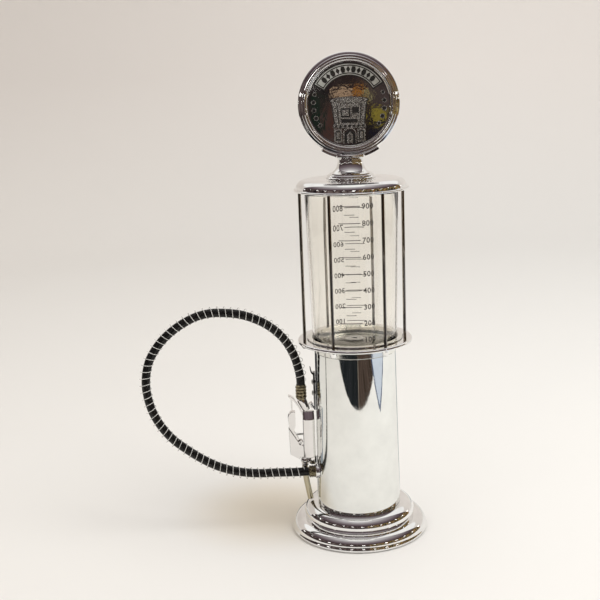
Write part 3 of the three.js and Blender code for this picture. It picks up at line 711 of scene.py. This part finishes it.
satin = grained("satin_relief", (0.7, 3, 0.6), (0.35, (0.13, 0.13, 0.125)), (0.65, (0.68, 0.67, 0.65)),
                relief=(0.8, 0.2), gloss=(0.08, 0.25), Metallic=0.85)
banner = grained("satin_banner", (0.08, 3, 0.6), (0.35, (0.5, 0.51, 0.47)), (0.65, (0.76, 0.76, 0.72)),
                 gloss=(0.12, 0.22), Metallic=0.55)
bump(banner, noise(banner, place_of(banner), 1.5, 2), 0.3, 0.03)
plate_ink = grained("plate_ink", (1.2, 4, 0.6), (0.35, (0.008, 0.007, 0.007)), (0.75, (0.03, 0.027, 0.025)),
                    relief=(0.3, 0.04), Roughness=0.7, Specular_IOR_Level=0.2)
for name, parts, material in (("sign_plaque_struck", mirror_parts, struck_metal),
                              ("sign_plaque_relief", satin_parts, satin),
                              ("sign_plaque_banner", banner_parts, banner),
                              ("sign_plaque_inked", inked_parts, plate_ink)):
    plaque = joined(name, parts)
    plaque.data.shade_smooth()
    plaque.data.set_sharp_from_angle(angle=math.radians(40))
    plaque.modifiers.new("flats", "WEIGHTED_NORMAL").keep_sharp = True
    fit(plaque, "cap", material, "sign_metal", "sign_plaque")

back = [(0, -2.2), (33, -2.2), (33.5, -1.9), (36.5, -1.9), (37, -2.2), (42, -2.2), (42.3, -1.9), (42.3, -0.6),
        (42, -0.3), (0, -0.3)]
fit(turned("sign_back_turned", eased(back, 0.25, closed=False), 160, place=FACE_FRONT), "cap", plain_chrome,
    "chrome", "sign_back")

# ---- Holster bracket ----
# A darkened nickel strip, screwed to the column with two round heads. Its top is bent out as a small hook
# and a tongue is bent out at its foot; the nozzle's lug drops over the tongue.
NOZZLE_Y = 4.5
PRONG_LEAN = math.radians(30)
dark_nickel = chrome("dark_nickel", cast=0.02, smudge=1.5, tint=(0.12, 0.12, 0.125))


def along_prong(u, v):
    """A place u up the tongue and v across it, towards the column."""
    return (-46.4 - u * math.sin(PRONG_LEAN) + v * math.cos(PRONG_LEAN),
            134 + u * math.cos(PRONG_LEAN) + v * math.sin(PRONG_LEAN))


def beside_nozzle(name, outline, half, ease):
    """A plate cut to an outline, with half its width on each side of the nozzle's middle plane."""
    return crossways(name, outline, NOZZLE_Y - half, NOZZLE_Y + half, ease)


strip = [(-41, 132.6), (-44.7, 132), (-45.1, 132.6), (-45.1, 172), (-44.7, 172.6), (-41, 172.6)]
strip = beside_nozzle("holster_strip", strip, 4.5, 0.4)
strip.modifiers.clear()
hollow = turned("column_space", [(0, 100), (COLUMN_FOOT - 0.5, 100), (COLUMN_HEAD + 0.45, 200), (0, 200)], 256)
hook = [(-44.2, 169.6), (-45.3, 170.1), (-46.5, 171.2), (-47.4, 172.8), (-48, 175.2), (-48.4, 178.5),
        (-48, 178.9), (-47.4, 178.8), (-46.9, 175.6), (-46.2, 173.6), (-45.4, 172.7), (-44.2, 172.3)]
tongue = [along_prong(u, v) for u, v in ((-2.6, 0), (4, 0), (4.4, 0.4), (4.4, 0.9), (4, 1.3), (-2.4, 1.3))]
for piece in (cut_away(strip, hollow), beside_nozzle("holster_hook", hook, 2.5, 0.35),
              beside_nozzle("holster_tongue", tongue, 1.7, 0.25)):
    fit(piece, "pump", dark_nickel, "dark_nickel", "holster_bracket")
LEFTWARDS = Matrix.Rotation(-math.pi / 2, 4, "Y")
for k, z in enumerate((150, 162)):
    screw = [(0, 38.5), (1.5, 38.5), (1.5, 45.4), (2.9, 45.4), (2.9, 45.7), (2.6, 46.3), (1.9, 46.7), (1, 46.8),
             (0.9, 46.3), (0, 46.3)]
    move = Matrix.Translation((0, NOZZLE_Y, z)) @ LEFTWARDS
    fit(turned(f"holster_screw_round_{k + 1}", screw, 32, closed=False, place=move), "pump", steel, "steel",
        f"holster_screw_{k + 1}")

# ---- Hose outlet ----
# A brass barb with a nut inside the column holds a small chromed flange against the outside.
# The hose is pushed on and held by a dark, antiqued brass ferrule with rolled rings.
OUTLET = Matrix.Translation((0, -6.5, 66)) @ LEFTWARDS
brass = grained("turned_brass", (0.4, 4), (0.3, (0.62, 0.45, 0.19)), (0.7, (0.42, 0.3, 0.14)),
                gloss=(0.18, 0.4), Metallic=1.0)
bump(brass, noise(brass, place_of(brass, (1, 1, 5)), 0.8, 3), 0.3, 0.02)
tail = [(2.3, 26), (3.8, 26), (4.2, 28), (3.8, 30), (4, 32), (4, 52.6), (2.3, 52.6)]
fit(turned("outlet_fitting_turned", eased(tail, 0.2), 64, place=OUTLET), "pump", brass, "brass",
    "outlet_fitting")
keep("outlet_nut", brass)
flange = [(4.4, 40), (7.8, 40), (7.8, 45), (7.6, 45.7), (7, 46.2), (4.4, 46.2)]
flange_piece = turned("outlet_flange_turned", flange, 96, place=OUTLET)
hollow = turned("column_space", [(0, 20), (44.8, 20), (COLUMN_HEAD + 0.35, 197), (0, 197)], 256)
fit(cut_away(flange_piece, hollow), "pump", spun_chrome, "chrome", "outlet_flange")

old_brass = grained("antiqued_brass", (0.5, 5, 0.6), (0.36, (0.05, 0.045, 0.033)), (0.62, (0.4, 0.345, 0.22)),
                    relief=(0.4, 0.06), gloss=(0.14, 0.32), Metallic=1.0)


def ringed(radius, groove, start, pitch, flat, count, foot, head, bore):
    """A ferrule's outline: rolled rings of one radius with grooves between them."""
    outline = [(bore, foot), (groove, foot)]
    for k in range(count):
        z = start + k * pitch
        outline += [(groove, z - 0.1), (radius - 0.25, z), (radius, z + 0.3), (radius, z + flat - 0.3),
                    (radius - 0.25, z + flat), (groove, z + flat + 0.2)]
    return outline + [(groove, head), (bore, head)]


sleeve = ringed(6.4, 5.6, 46.6, 2.3, 1.5, 3, 46.5, 53.4, 4.4)
fit(turned("outlet_ferrule_rolled", sleeve, 64, sharp=50, place=OUTLET), "pump", old_brass, "dark_ferrule",
    "outlet_ferrule")

# ---- Hose ----
# A black rubber hose, 9 mm across, that is stiff enough to stand in a loop. It leaves the outlet level,
# swings out and up, and comes down into the nozzle's ferrule. Its whole length shows.
HOSE_ACROSS = 9
HOSE_ROUTE = [
    (-53.7, -6.5, 66), (-62, -6.5, 66), (-75, -6.6, 66.2), (-90, -6.8, 66.8), (-105, -7, 67), (-120, -7, 68.6),
    (-135.5, -6.8, 72), (-151, -6.4, 77.8), (-166, -5.8, 86.2), (-181, -5, 96.8), (-195.5, -4, 109),
    (-207, -3, 123.6), (-215, -2, 139.6), (-219.2, -1, 156), (-220.2, -0.2, 170.3), (-218.6, 0.6, 183),
    (-214.8, 1.2, 195.2), (-209, 1.8, 205), (-201.3, 2.3, 214.6), (-191.6, 2.7, 223.3), (-179.2, 3.1, 231.6),
    (-164, 3.5, 238.6), (-148.7, 3.8, 241.6), (-133.5, 4, 241), (-118.5, 4.2, 238.6), (-103.6, 4.3, 233.2),
    (-88.8, 4.4, 224.6), (-74.4, 4.5, 210.6), (-64.6, 4.5, 192.8), (-59.6, 4.5, 174.4), (-58.4, 4.5, 166),
    (-58.3, 4.5, 160)]


def smooth_path(route, step):
    """Points an even step apart along one smooth curve through the route."""
    knots = [Vector(p) for p in route]
    knots = [2 * knots[0] - knots[1]] + knots + [2 * knots[-1] - knots[-2]]
    fine = []
    for a, b, c, d in zip(knots, knots[1:], knots[2:], knots[3:]):
        gaps = [max((q - p).length ** 0.5, 1e-6) for p, q in ((a, b), (b, c), (c, d))]
        m1 = ((b - a) / gaps[0] - (c - a) / (gaps[0] + gaps[1]) + (c - b) / gaps[1]) * gaps[1]
        m2 = ((c - b) / gaps[1] - (d - b) / (gaps[1] + gaps[2]) + (d - c) / gaps[2]) * gaps[1]
        for k in range(24):
            t = k / 24
            fine.append(b * (2 * t ** 3 - 3 * t ** 2 + 1) + m1 * (t ** 3 - 2 * t ** 2 + t)
                        + c * (3 * t ** 2 - 2 * t ** 3) + m2 * (t ** 3 - t ** 2))
    fine.append(knots[-2])
    total = sum((q - p).length for p, q in zip(fine, fine[1:]))
    count = max(2, round(total / step))
    even = [fine[0]]
    travelled = 0.0
    for p, q in zip(fine, fine[1:]):
        length = (q - p).length
        while len(even) < count and travelled + length >= total * len(even) / count:
            even.append(p.lerp(q, (total * len(even) / count - travelled) / length))
        travelled += length
    return even + [fine[-1]], total


def frames_along(path, first_side):
    """The path's direction and two square sides at each point, without twist."""
    side = Vector(first_side)
    frames = []
    for i, point in enumerate(path):
        ahead = (path[min(i + 1, len(path) - 1)] - path[max(i - 1, 0)]).normalized()
        side = (side - ahead * side.dot(ahead)).normalized()
        frames.append((point, ahead, side, ahead.cross(side)))
    return frames


def swept(name, path, radius, sides=24, first_side=(0, 1, 0), bore=0.0):
    """A round bar along a path; a radius may be a number or a list, and a bore makes a tube."""
    frames = frames_along(path, first_side)
    walls = [radius if isinstance(radius, list) else [radius] * len(path)]
    if bore:
        walls.append([bore] * len(path))
    points = []
    faces = []
    for wall in walls:
        for (point, _, u, v), r in zip(frames, wall):
            points += [point + r * (math.cos(TURN * k / sides) * u + math.sin(TURN * k / sides) * v)
                       for k in range(sides)]
    rows = len(path)
    for layer in range(len(walls)):
        base = layer * rows * sides
        for i in range(rows - 1):
            for k in range(sides):
                a, b = base + i * sides + k, base + i * sides + (k + 1) % sides
                faces.append((a, b, b + sides, a + sides))
    for row in (0, rows - 1):
        outer = [row * sides + k for k in range(sides)]
        if bore:
            inner = [(rows + row) * sides + k for k in range(sides)]
            faces += [(outer[k - 1], outer[k], inner[k], inner[k - 1]) for k in range(sides)]
        else:
            faces.append(tuple(outer))
    return new_piece(name, points, faces, 50)


hose_line, hose_length = smooth_path(HOSE_ROUTE, 2.5)
hose_rubber = grained("hose_rubber", (0.5, 5, 0.65), (0.35, (0.004, 0.004, 0.004)),
                      (0.8, (0.014, 0.013, 0.012)), relief=(0.5, 0.08), gloss=(0.16, 0.34),
                      Specular_IOR_Level=0.25)
hose = fit(swept("hose_tube", hose_line, HOSE_ACROSS / 2, 32), None, hose_rubber, "hose_rubber", "hose")

# ---- Wire winding ----
# A loose coil of bright spring wire is slipped over the hose from end to end.
# It sags to the outside of the loop, so its turns touch the inner side and stand off the outer side.
WIRE_PITCH = 7.0
WIRE_ACROSS = 0.7
SNUG_RADIUS = 4.95
COIL_RADIUS = 5.9
COIL_OFFSET = 0.95
TURN_STEPS = 20
wire_steel = grained("spring_wire", (0.8, 4), (0.3, (0.7, 0.7, 0.68)), (0.7, (0.92, 0.92, 0.89)),
                     relief=(0.3, 0.02), gloss=(0.12, 0.28), Metallic=0.4)
coil_line, _ = smooth_path(HOSE_ROUTE, WIRE_PITCH / TURN_STEPS)
loop_middle = Vector((-140, 0, 155))
wire = []
count = len(coil_line)
for i, (point, ahead, u, v) in enumerate(frames_along(coil_line, (0, 1, 0))):
    away = point - loop_middle
    away = (away - ahead * away.dot(ahead)).normalized()
    a = TURN * i / TURN_STEPS
    ends = min(1.0, min(i, count - 1 - i) / (2.0 * TURN_STEPS))
    sag = 0.35 + 0.65 * i / count + 0.2 * math.sin(i * 0.031)
    middle = point + away * COIL_OFFSET * ends * sag
    radius = SNUG_RADIUS + (COIL_RADIUS - SNUG_RADIUS) * ends
    if 12 < i < count - 12:
        wire.append(middle + radius * (math.cos(a) * u + math.sin(a) * v))
winding = fit(swept("hose_wire_winding", wire, WIRE_ACROSS / 2, 8, (1, 0, 0)), None, wire_steel, "steel")
for piece in (hose, winding):
    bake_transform(piece)

# ---- Nozzle ferrule and neck ----
# A dark ringed ferrule grips the hose's end, and a chromed taper leans from it to the nozzle's body.
FERRULE_X = -58.3
cast_chrome = chrome("cast_chrome", cast=0.012, smudge=1.3, tint=(0.8, 0.785, 0.775))
grip = ringed(5.8, 5.0, 145.6, 3.4, 2.3, 4, 144.2, 159.6, 4.7)
fit(turned("nozzle_ferrule_rolled", grip, 64, sharp=50, at=(FERRULE_X, NOZZLE_Y)), "nozzle", old_brass,
    "dark_ferrule", "nozzle_ferrule")
neck_path = [Vector((-53 - 5.3 * t, NOZZLE_Y, 131.3 + 12.5 * t)) for t in (0, 0.04, 0.3, 0.6, 0.92, 1)]
fit(swept("nozzle_neck_turned", neck_path, [3.7, 4.1, 4.4, 4.7, 5.1, 4.8], 48, bore=2.2), "nozzle", cast_chrome,
    "chrome", "nozzle_neck")

# ---- Nozzle body ----
# A cast block with a low ridge up its front and its back; its top is dressed back to a slope.
# It holds the valve, and a lug behind it hangs on the bracket's tongue.
BODY_SECTION = [(-57.4, -5), (-55.6, -6.4), (-51.4, -7.2), (-47.2, -6.4), (-45.3, -5), (-45.3, 5), (-47.2, 6.4),
                (-51.4, 7.2), (-55.6, 6.4), (-57.4, 5)]


def lofted(name, section, levels, ease):
    """A block with one section at several heights, each (z, share of its width in y)."""
    count = len(section)
    points = [(x, NOZZLE_Y + y * share, z) for z, share in levels for x, y in section]
    faces = [tuple(range(count - 1, -1, -1)), tuple(range((len(levels) - 1) * count, len(levels) * count))]
    for row in range(len(levels) - 1):
        for i in range(count):
            a, b = row * count + i, row * count + (i + 1) % count
            faces.append((a, b, b + count, a + count))
    piece = new_piece(name, points, faces, 30)
    ease_edges(piece, ease, 3, 12)
    return piece


def cast_plate(name, outline, half, ease, body, node):
    """A chromed casting with half its width on each side of the nozzle's middle plane."""
    fit(beside_nozzle(name, outline, half, ease), body, cast_chrome, "chrome", node)


body = lofted("nozzle_body_cast", BODY_SECTION, [(79.5, 1), (122, 1), (130.2, 0.3)], 0.45)
fit(body, "nozzle", cast_chrome, "chrome", "nozzle_body")
lug = [along_prong(u, v) for u, v in ((-0.4, -1.7), (6, -1.7), (6, 2.4), (2.6, 2.4), (2.6, 1.6), (4.8, 1.6),
                                      (4.8, -0.4), (-0.4, -0.4))]
cast_plate("nozzle_lug_cast", lug, 2.5, 0.3, "nozzle", "nozzle_lug")

# ---- Guard ----
# The cast guard in front of the body: a solid heel below and a swept wing above, with the lever between.
PIVOT = (-60.6, 95.6)
LEVER_TOP = (-71.2, 113)
reach = math.hypot(LEVER_TOP[0] - PIVOT[0], LEVER_TOP[1] - PIVOT[1])
lever_way = ((LEVER_TOP[0] - PIVOT[0]) / reach, (LEVER_TOP[1] - PIVOT[1]) / reach)


def on_lever(u, v):
    """A place u along the lever from its pin and v towards the body."""
    return (PIVOT[0] + u * lever_way[0] + v * lever_way[1], PIVOT[1] + u * lever_way[1] - v * lever_way[0])


heel = [on_lever(3.2, -1.6), on_lever(21, -1.6), (-72, 83.1), (-62, 77.2), (-61.6, 79.6), (-57.8, 79.6),
        (-57.8, 92), (-60, 94)]
cast_plate("guard_heel_cast", heel, 4, 0.5, "nozzle", "guard_block")
for name, y0, y1 in (("guard_ear_front", -4, -1.75), ("guard_ear_back", 1.75, 4)):
    ear = arc(*PIVOT, 2.6, 2.6, 0, 345, 23)
    fit(crossways(name, ear, NOZZLE_Y + y0, NOZZLE_Y + y1, 0.3), "nozzle", cast_chrome, "chrome", "guard_block")
wing = [(-57.8, 126.4), (-57.8, 130.2), (-59.4, 133.8), (-61.2, 137), (-63, 140.2), (-65, 143), (-66, 145),
        (-69, 147.4), (-72.2, 148.6), (-71.4, 146.4), (-69.4, 144.2), (-69.2, 132.8), (-67.9, 132.8),
        (-67.9, 143), (-66.4, 142), (-64.4, 139.2), (-62.4, 136)]
cast_plate("guard_wing_cast", wing, 3.5, 0.3, "nozzle", "guard_wing")

# ---- Lever, valve and spring ----
# The cast lever swings on a steel pin in the guard; squeezing its paddle pushes the steel valve stem
# against a coiled spring inside the body, which shortens as the stem goes in.
UPRIGHT_PIN = Matrix.Translation((PIVOT[0], NOZZLE_Y, PIVOT[1])) @ Matrix.Rotation(math.pi / 2, 4, "X")
pin = eased([(0, -4.4), (1, -4.4), (1, 4.4), (0, 4.4)], 0.3, closed=False)
fit(turned("lever_pin_turned", pin, 32, closed=False, place=UPRIGHT_PIN), "nozzle", steel, "steel", "lever_pin")
HALF = 1.1
bar = [on_lever(-0.6, -HALF), on_lever(20, -HALF), on_lever(20, HALF), on_lever(-0.6, HALF)]
paddle = [on_lever(5, -HALF), on_lever(19.6, -HALF), (-72.6, 116), (-73.1, 120), (-73.2, 123.6), (-72.9, 126),
          (-72.2, 127.8), (-70.8, 129.6), (-68.6, 130.8), (-65.4, 130.4), (-65.4, 115.4), on_lever(15, HALF),
          on_lever(5, HALF)]
cast_plate("lever_bar", bar, 1.3, 0.25, "lever", "lever")
cast_plate("lever_paddle", paddle, 3.5, 0.45, "lever", "lever")
cast_plate("lever_eye", arc(*PIVOT, 2.3, 2.3, 0, 345, 23), 1.3, 0.25, "lever", "lever")
STEM_Z = 104.5
coil = []
for k in range(81):
    a = TURN * k / 20
    coil.append(Vector((-53.6 + 5 * k / 80, NOZZLE_Y + 2 * math.cos(a), STEM_Z + 2 * math.sin(a))))
spring = fit(swept("valve_spring_coil", coil, 0.3, 10, (0, 0, 1)), "nozzle", steel, "steel", "valve_spring")
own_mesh(spring)
keep("valve_stem", steel)

# ---- Spout and valve cap ----
# A thin bent tube of nickel, tinted yellow-brown as a painted reflection of the beige table, screwed into a
# round collar under the body.
# A hexagonal cap beside it closes the valve's chamber.
collar_ball = [(3.6, 70.5), (4, 70.2)] + arc(1.2, 74.7, 3.4, 4.1, -60, 60, 14) + [(3.9, 78.9), (3.6, 79.2)]
fit(turned("spout_collar_turned", collar_ball, 64, at=(-56.6, NOZZLE_Y)), "nozzle", cast_chrome, "chrome",
    "spout_collar")
hexagon = arc(-48.2, 0, 4, 4, 0, 300, 5)
hex_cap = lofted("valve_cap_hexagonal", hexagon, [(70.6, 0.9), (71.2, 1), (79.2, 1)], 0.2)
fit(hex_cap, "nozzle", cast_chrome, "chrome", "valve_cap")
spout_line, _ = smooth_path([(-56.6, NOZZLE_Y, 79.2), (-56.8, NOZZLE_Y, 72), (-57, NOZZLE_Y, 64),
                             (-56, NOZZLE_Y, 54), (-54.2, NOZZLE_Y, 43), (-52, NOZZLE_Y, 31)], 1.5)
# The spout's yellow-brown tint is a painted reflection of the beige table.
old_nickel = chrome("old_nickel", drawn=0.02, smudge=2.5, tint=(0.5, 0.45, 0.33))
fit(swept("spout_tube", spout_line, 3.1, 48, bore=2.3), "nozzle", old_nickel, "old_nickel", "spout")

# ---- Studio ----
# A seamless pale bowl under soft light. Dark boards that only polished metal sees stand all round
# but behind, with small lamps and a few coloured things on them, as in a furnished room.


def mirror_only(piece):
    """Shows in polished surfaces and nowhere else."""
    for ray in ("camera", "diffuse", "transmission", "volume_scatter", "shadow"):
        setattr(piece, "visible_" + ray, False)
    return piece


def spun_stage(name, profile, start, end, steps, material):
    """Part of a bowl turned about Z, from (radius, height) points in metres."""
    points = []
    for k in range(steps + 1):
        a = math.radians(start + (end - start) * k / steps)
        points += [Vector((r * math.cos(a), r * math.sin(a), z)) / MM for r, z in profile]
    size = len(profile)
    faces = [(k * size + i, (k + 1) * size + i, (k + 1) * size + i + 1, k * size + i + 1)
             for k in range(steps) for i in range(size - 1)]
    piece = new_piece(name, points, faces, 60)
    piece.data.materials.append(material)
    return piece


paper = finish("backdrop_paper", Roughness=0.9, Specular_IOR_Level=0.1)
spot = add(paper, "TexCoord").outputs["Object"]
# The paper's colour runs darker and warmer towards the left and higher up the wall: painted shade where less of
# the light falls.
across = add(paper, "SeparateXYZ", {0: spot})
tone = between(paper, across.outputs[0], 0, 1, -0.9, 0.6)
high = between(paper, across.outputs[2], 0, 1, 0.0, 0.5)
low_colour = shades(paper, tone, (0.0, (0.8, 0.775, 0.745)), (1.0, (0.84, 0.832, 0.815)))
high_colour = shades(paper, tone, (0.0, (0.72, 0.68, 0.65)), (1.0, (0.87, 0.835, 0.81)))
blended = add(paper, "Mix", {"Factor": high, "A": low_colour, "B": high_colour}, data_type="RGBA")
# A warm, darker patch on the paper left of the base is a painted shadow of the base and the column.
beside = add(paper, "VectorMath", {0: spot, 1: (-0.09, 0.05, 0.0)}, operation="DISTANCE").outputs["Value"]
near = add(paper, "MapRange", {"Value": beside, "From Min": 0.02, "From Max": 0.13},
           interpolation_type="SMOOTHSTEP").outputs[0]
with_painted_shadow = add(paper, "Mix", {"Factor": near, "A": (0.74, 0.675, 0.58, 1), "B": blended.outputs["Result"]},
           data_type="RGBA")
into(paper, "Base Color", with_painted_shadow.outputs["Result"])
bowl = [(0.0, 0.0), (0.5, 0.0), (1.1, 0.0)] + arc(1.85, 0.9, 0.9, 0.9, -90, 0, 15) + [(2.75, 1.8)]
spun_stage("backdrop_bowl", bowl, 0, 360, 96, paper)


def glow(name, colour, strength=1.0):
    """A surface that gives off its own plain light."""
    material = bpy.data.materials.new(name)
    material.use_nodes = True
    material.node_tree.nodes.clear()
    shine = add(material, "Emission", {"Color": (*colour, 1), "Strength": strength})
    out = add(material, "OutputMaterial")
    material.node_tree.links.new(shine.outputs[0], out.inputs["Surface"])
    return material


def coloured_by(material, colour):
    material.node_tree.links.new(colour, material.node_tree.nodes["Emission"].inputs["Color"])


def board(name, corners, material):
    """A flat board from corners in metres, seen only in polished surfaces."""
    made = new_piece(name, [Vector(c) / MM for c in corners], [tuple(range(len(corners)))])
    made.data.materials.append(material)
    mirror_only(made)


def floor_board(name, corners, height, material):
    board(name, [(x, y, height) for x, y in corners], material)


# The far side of the room: shelves full of things on the right, murk elsewhere, and a paler ceiling.
room = glow("dark_room", (0.05, 0.035, 0.03))
spot = add(room, "TexCoord").outputs["Object"]
stretched = add(room, "Mapping", {"Vector": spot, "Scale": (1, 1, 0.6)}).outputs[0]
clutter = noise(room, stretched, 7.0, 4.0, 0.6)
cells = add(room, "TexVoronoi", {"Vector": stretched, "Scale": 24.0}).outputs["Color"]
things = add(room, "SeparateXYZ", {0: cells}).outputs[0]
murk = shades(room, clutter, (0.38, (0.01, 0.009, 0.01)), (0.48, (0.05, 0.035, 0.033)),
              (0.58, (0.12, 0.09, 0.085)), (0.7, (0.24, 0.19, 0.17)))
hues = shades(room, things, (0.0, (0.01, 0.014, 0.012)), (0.3, (0.03, 0.045, 0.025)),
              (0.5, (0.12, 0.06, 0.035)), (0.62, (0.015, 0.012, 0.012)), (0.78, (0.5, 0.24, 0.09)),
              (0.9, (0.36, 0.32, 0.05)), (0.97, (0.5, 0.42, 0.35)))
side = add(room, "SeparateXYZ", {0: spot})
shelved = between(room, side.outputs[0], 0, 1, 0.3, 0.34)
lived = add(room, "Mix", {"Factor": shelved, "A": murk, "B": hues}, data_type="RGBA").outputs["Result"]
ceiling = shades(room, between(room, side.outputs[2], 0, 1, 0.9, 1.95), (0.0, (0.055, 0.036, 0.038)),
                 (0.45, (0.15, 0.115, 0.125)), (0.8, (0.3, 0.27, 0.275)), (1.0, (0.55, 0.52, 0.52)))
lift = between(room, side.outputs[2], 0, 1, 0.75, 1.0)
whole = add(room, "Mix", {"Factor": lift, "A": lived, "B": ceiling}, data_type="RGBA")
coloured_by(room, whole.outputs["Result"])
dome = [(1.77, 0.0), (1.78, 0.3), (1.75, 0.7), (1.6, 1.15), (1.3, 1.55), (0.9, 1.85), (0.45, 2.0)]
mirror_only(spun_stage("room_wall", dome, -211, 25, 96, room))

# The floor in front of the paper: black carpet on the left, brown on the right, a beige line between.
PAPER_EDGE = 0.495
ON_FLOOR = 0.0015
carpet = glow("dark_carpet", (0.03, 0.03, 0.03))
spot = add(carpet, "TexCoord").outputs["Object"]
across = between(carpet, add(carpet, "SeparateXYZ", {0: spot}).outputs[0], 0, 1, -0.004, 0.004)
pile = noise(carpet, add(carpet, "Mapping", {"Vector": spot, "Scale": (9, 1, 1)}).outputs[0], 2.0)
left_side = shades(carpet, pile, (0.3, (0.006, 0.008, 0.009)), (0.7, (0.03, 0.032, 0.034)))
right_side = shades(carpet, pile, (0.3, (0.035, 0.025, 0.018)), (0.7, (0.11, 0.075, 0.06)))
both = add(carpet, "Mix", {"Factor": across, "A": left_side, "B": right_side}, data_type="RGBA")
coloured_by(carpet, both.outputs["Result"])
floor_board("room_floor", ((-1.7, -PAPER_EDGE), (1.7, -PAPER_EDGE), (1.25, -1.25), (0, -1.78), (-1.25, -1.25)),
            ON_FLOOR, carpet)
floor_board("room_floor_line", ((0.0, -PAPER_EDGE), (0.009, -PAPER_EDGE), (0.024, -1.7), (0.0, -1.7)), 0.0022,
            glow("beige_line", (0.3, 0.25, 0.2)))
floor_board("blue_board", ((0.421, -0.246), (1.5, -0.12), (1.6, -0.7), (0.64, -1.2)), 0.003,
            glow("pale_blue_board", (0.68, 0.73, 0.82)))
floor_board("blue_board_edge", ((0.403, -0.228), (1.5, -0.08), (1.6, -0.7), (0.58, -1.2)), 0.0022,
            glow("black_edge", (0.05, 0.08, 0.16)))
slate = glow("slate_strip", (0.3, 0.33, 0.36))
ash = glow("ash_strip", (0.045, 0.045, 0.05))
for name, near, far, start, end, material in (("floor_strip_right", 0.1, 0.9, 51, 58, slate),
                                              ("floor_strip_left", 0.1, 0.75, 99, 128, ash),
                                              ("floor_patch_left", 0.22, 0.46, 134, 158, slate)):
    mirror_only(spun_stage(name, [(near, ON_FLOOR), (far, ON_FLOOR)], start, end, 4, material))

# A few coloured things on a shelf, and small lamps all round.
for k, (x0, x1, z0, z1, colour) in enumerate(((0.12, 0.172, 0.418, 0.441, (0.62, 0.42, 0.27)),
                                              (0.178, 0.2, 0.42, 0.446, (0.5, 0.2, 0.04)),
                                              (0.203, 0.218, 0.415, 0.44, (0.45, 0.4, 0.2)),
                                              (0.222, 0.262, 0.35, 0.392, (0.34, 0.27, 0.05)),
                                              (0.06, 0.09, 0.33, 0.43, (0.015, 0.03, 0.02)),
                                              (0.1, 0.13, 0.31, 0.4, (0.1, 0.05, 0.04)),
                                              (0.225, 0.28, 0.3, 0.345, (0.02, 0.02, 0.04)))):
    board(f"shelf_thing_{k + 1}", [(x, -1.7, z) for x, z in ((x0, z0), (x1, z0), (x1, z1), (x0, z1))],
          glow(f"shelf_thing_{k + 1}", colour))
LAMP_CIRCLE = 1.55
lamp = glow("small_lamps", (1.0, 0.98, 0.95), 6.0)
for k in range(13):
    a = math.radians(-206 + 19.3 * k)
    middle = Vector((LAMP_CIRCLE * math.cos(a), LAMP_CIRCLE * math.sin(a), (0.5, 0.68, 0.56)[k % 3]))
    side = Vector((-math.sin(a), math.cos(a), 0)) * (0.07, 0.045, 0.06)[k % 3]
    rise = Vector((0, 0, 0.022))
    corners = (middle - side - rise, middle + side - rise, middle + side + rise, middle - side + rise)
    board(f"lamp_{k + 1}", corners, lamp)

world = bpy.data.worlds.new("soft_room")
bpy.context.scene.world = world
world.use_nodes = True
air = world.node_tree.nodes["Background"]
air.inputs["Color"].default_value = (1.0, 0.985, 0.955, 1)
air.inputs["Strength"].default_value = 0.95


def soft_light(name, place, size, power, colour=(1, 0.97, 0.94)):
    """A square soft box aimed at the middle of the object."""
    lamp_data = bpy.data.lights.new(name, "AREA")
    lamp_data.size = size
    lamp_data.energy = power
    lamp_data.color = colour
    light = bpy.data.objects.new(name, lamp_data)
    light.location = place
    light.rotation_mode = "QUATERNION"
    light.rotation_quaternion = (Vector(place) - Vector((0, 0, 0.2))).to_track_quat("Z", "Y")
    light.visible_glossy = False
    light.visible_camera = False
    bpy.context.scene.collection.objects.link(light)


soft_light("key_light", (0.8, -0.4, 1.6), 0.9, 12, (1, 0.99, 0.97))
soft_light("fill_light", (-1.0, -0.9, 1.6), 1.2, 2)

# ---- Camera ----
# It stands a metre in front, a little above the tank and a little to the left, and looks down slightly.
eye_data = bpy.data.cameras.new("camera")
eye_data.sensor_width = 36
eye_data.lens = 60.76
eye_data.clip_start = 0.05
camera = bpy.data.objects.new("camera", eye_data)
yaw, pitch, roll = -0.04042, 0.21609, -0.03779
ahead = Vector((-math.sin(yaw) * math.cos(pitch), math.cos(yaw) * math.cos(pitch), -math.sin(pitch)))
level = Vector((math.cos(yaw), math.sin(yaw), 0))
right = level * math.cos(roll) + level.cross(ahead) * math.sin(roll)
upward = right.cross(ahead)
turn = Matrix((right, upward, -ahead)).transposed().to_4x4()
camera.matrix_world = Matrix.Translation((-0.0972, -1.02188, 0.47656)) @ turn
bpy.context.scene.collection.objects.link(camera)
bpy.context.scene.camera = camera
bpy.context.scene.view_settings.view_transform = "Standard"
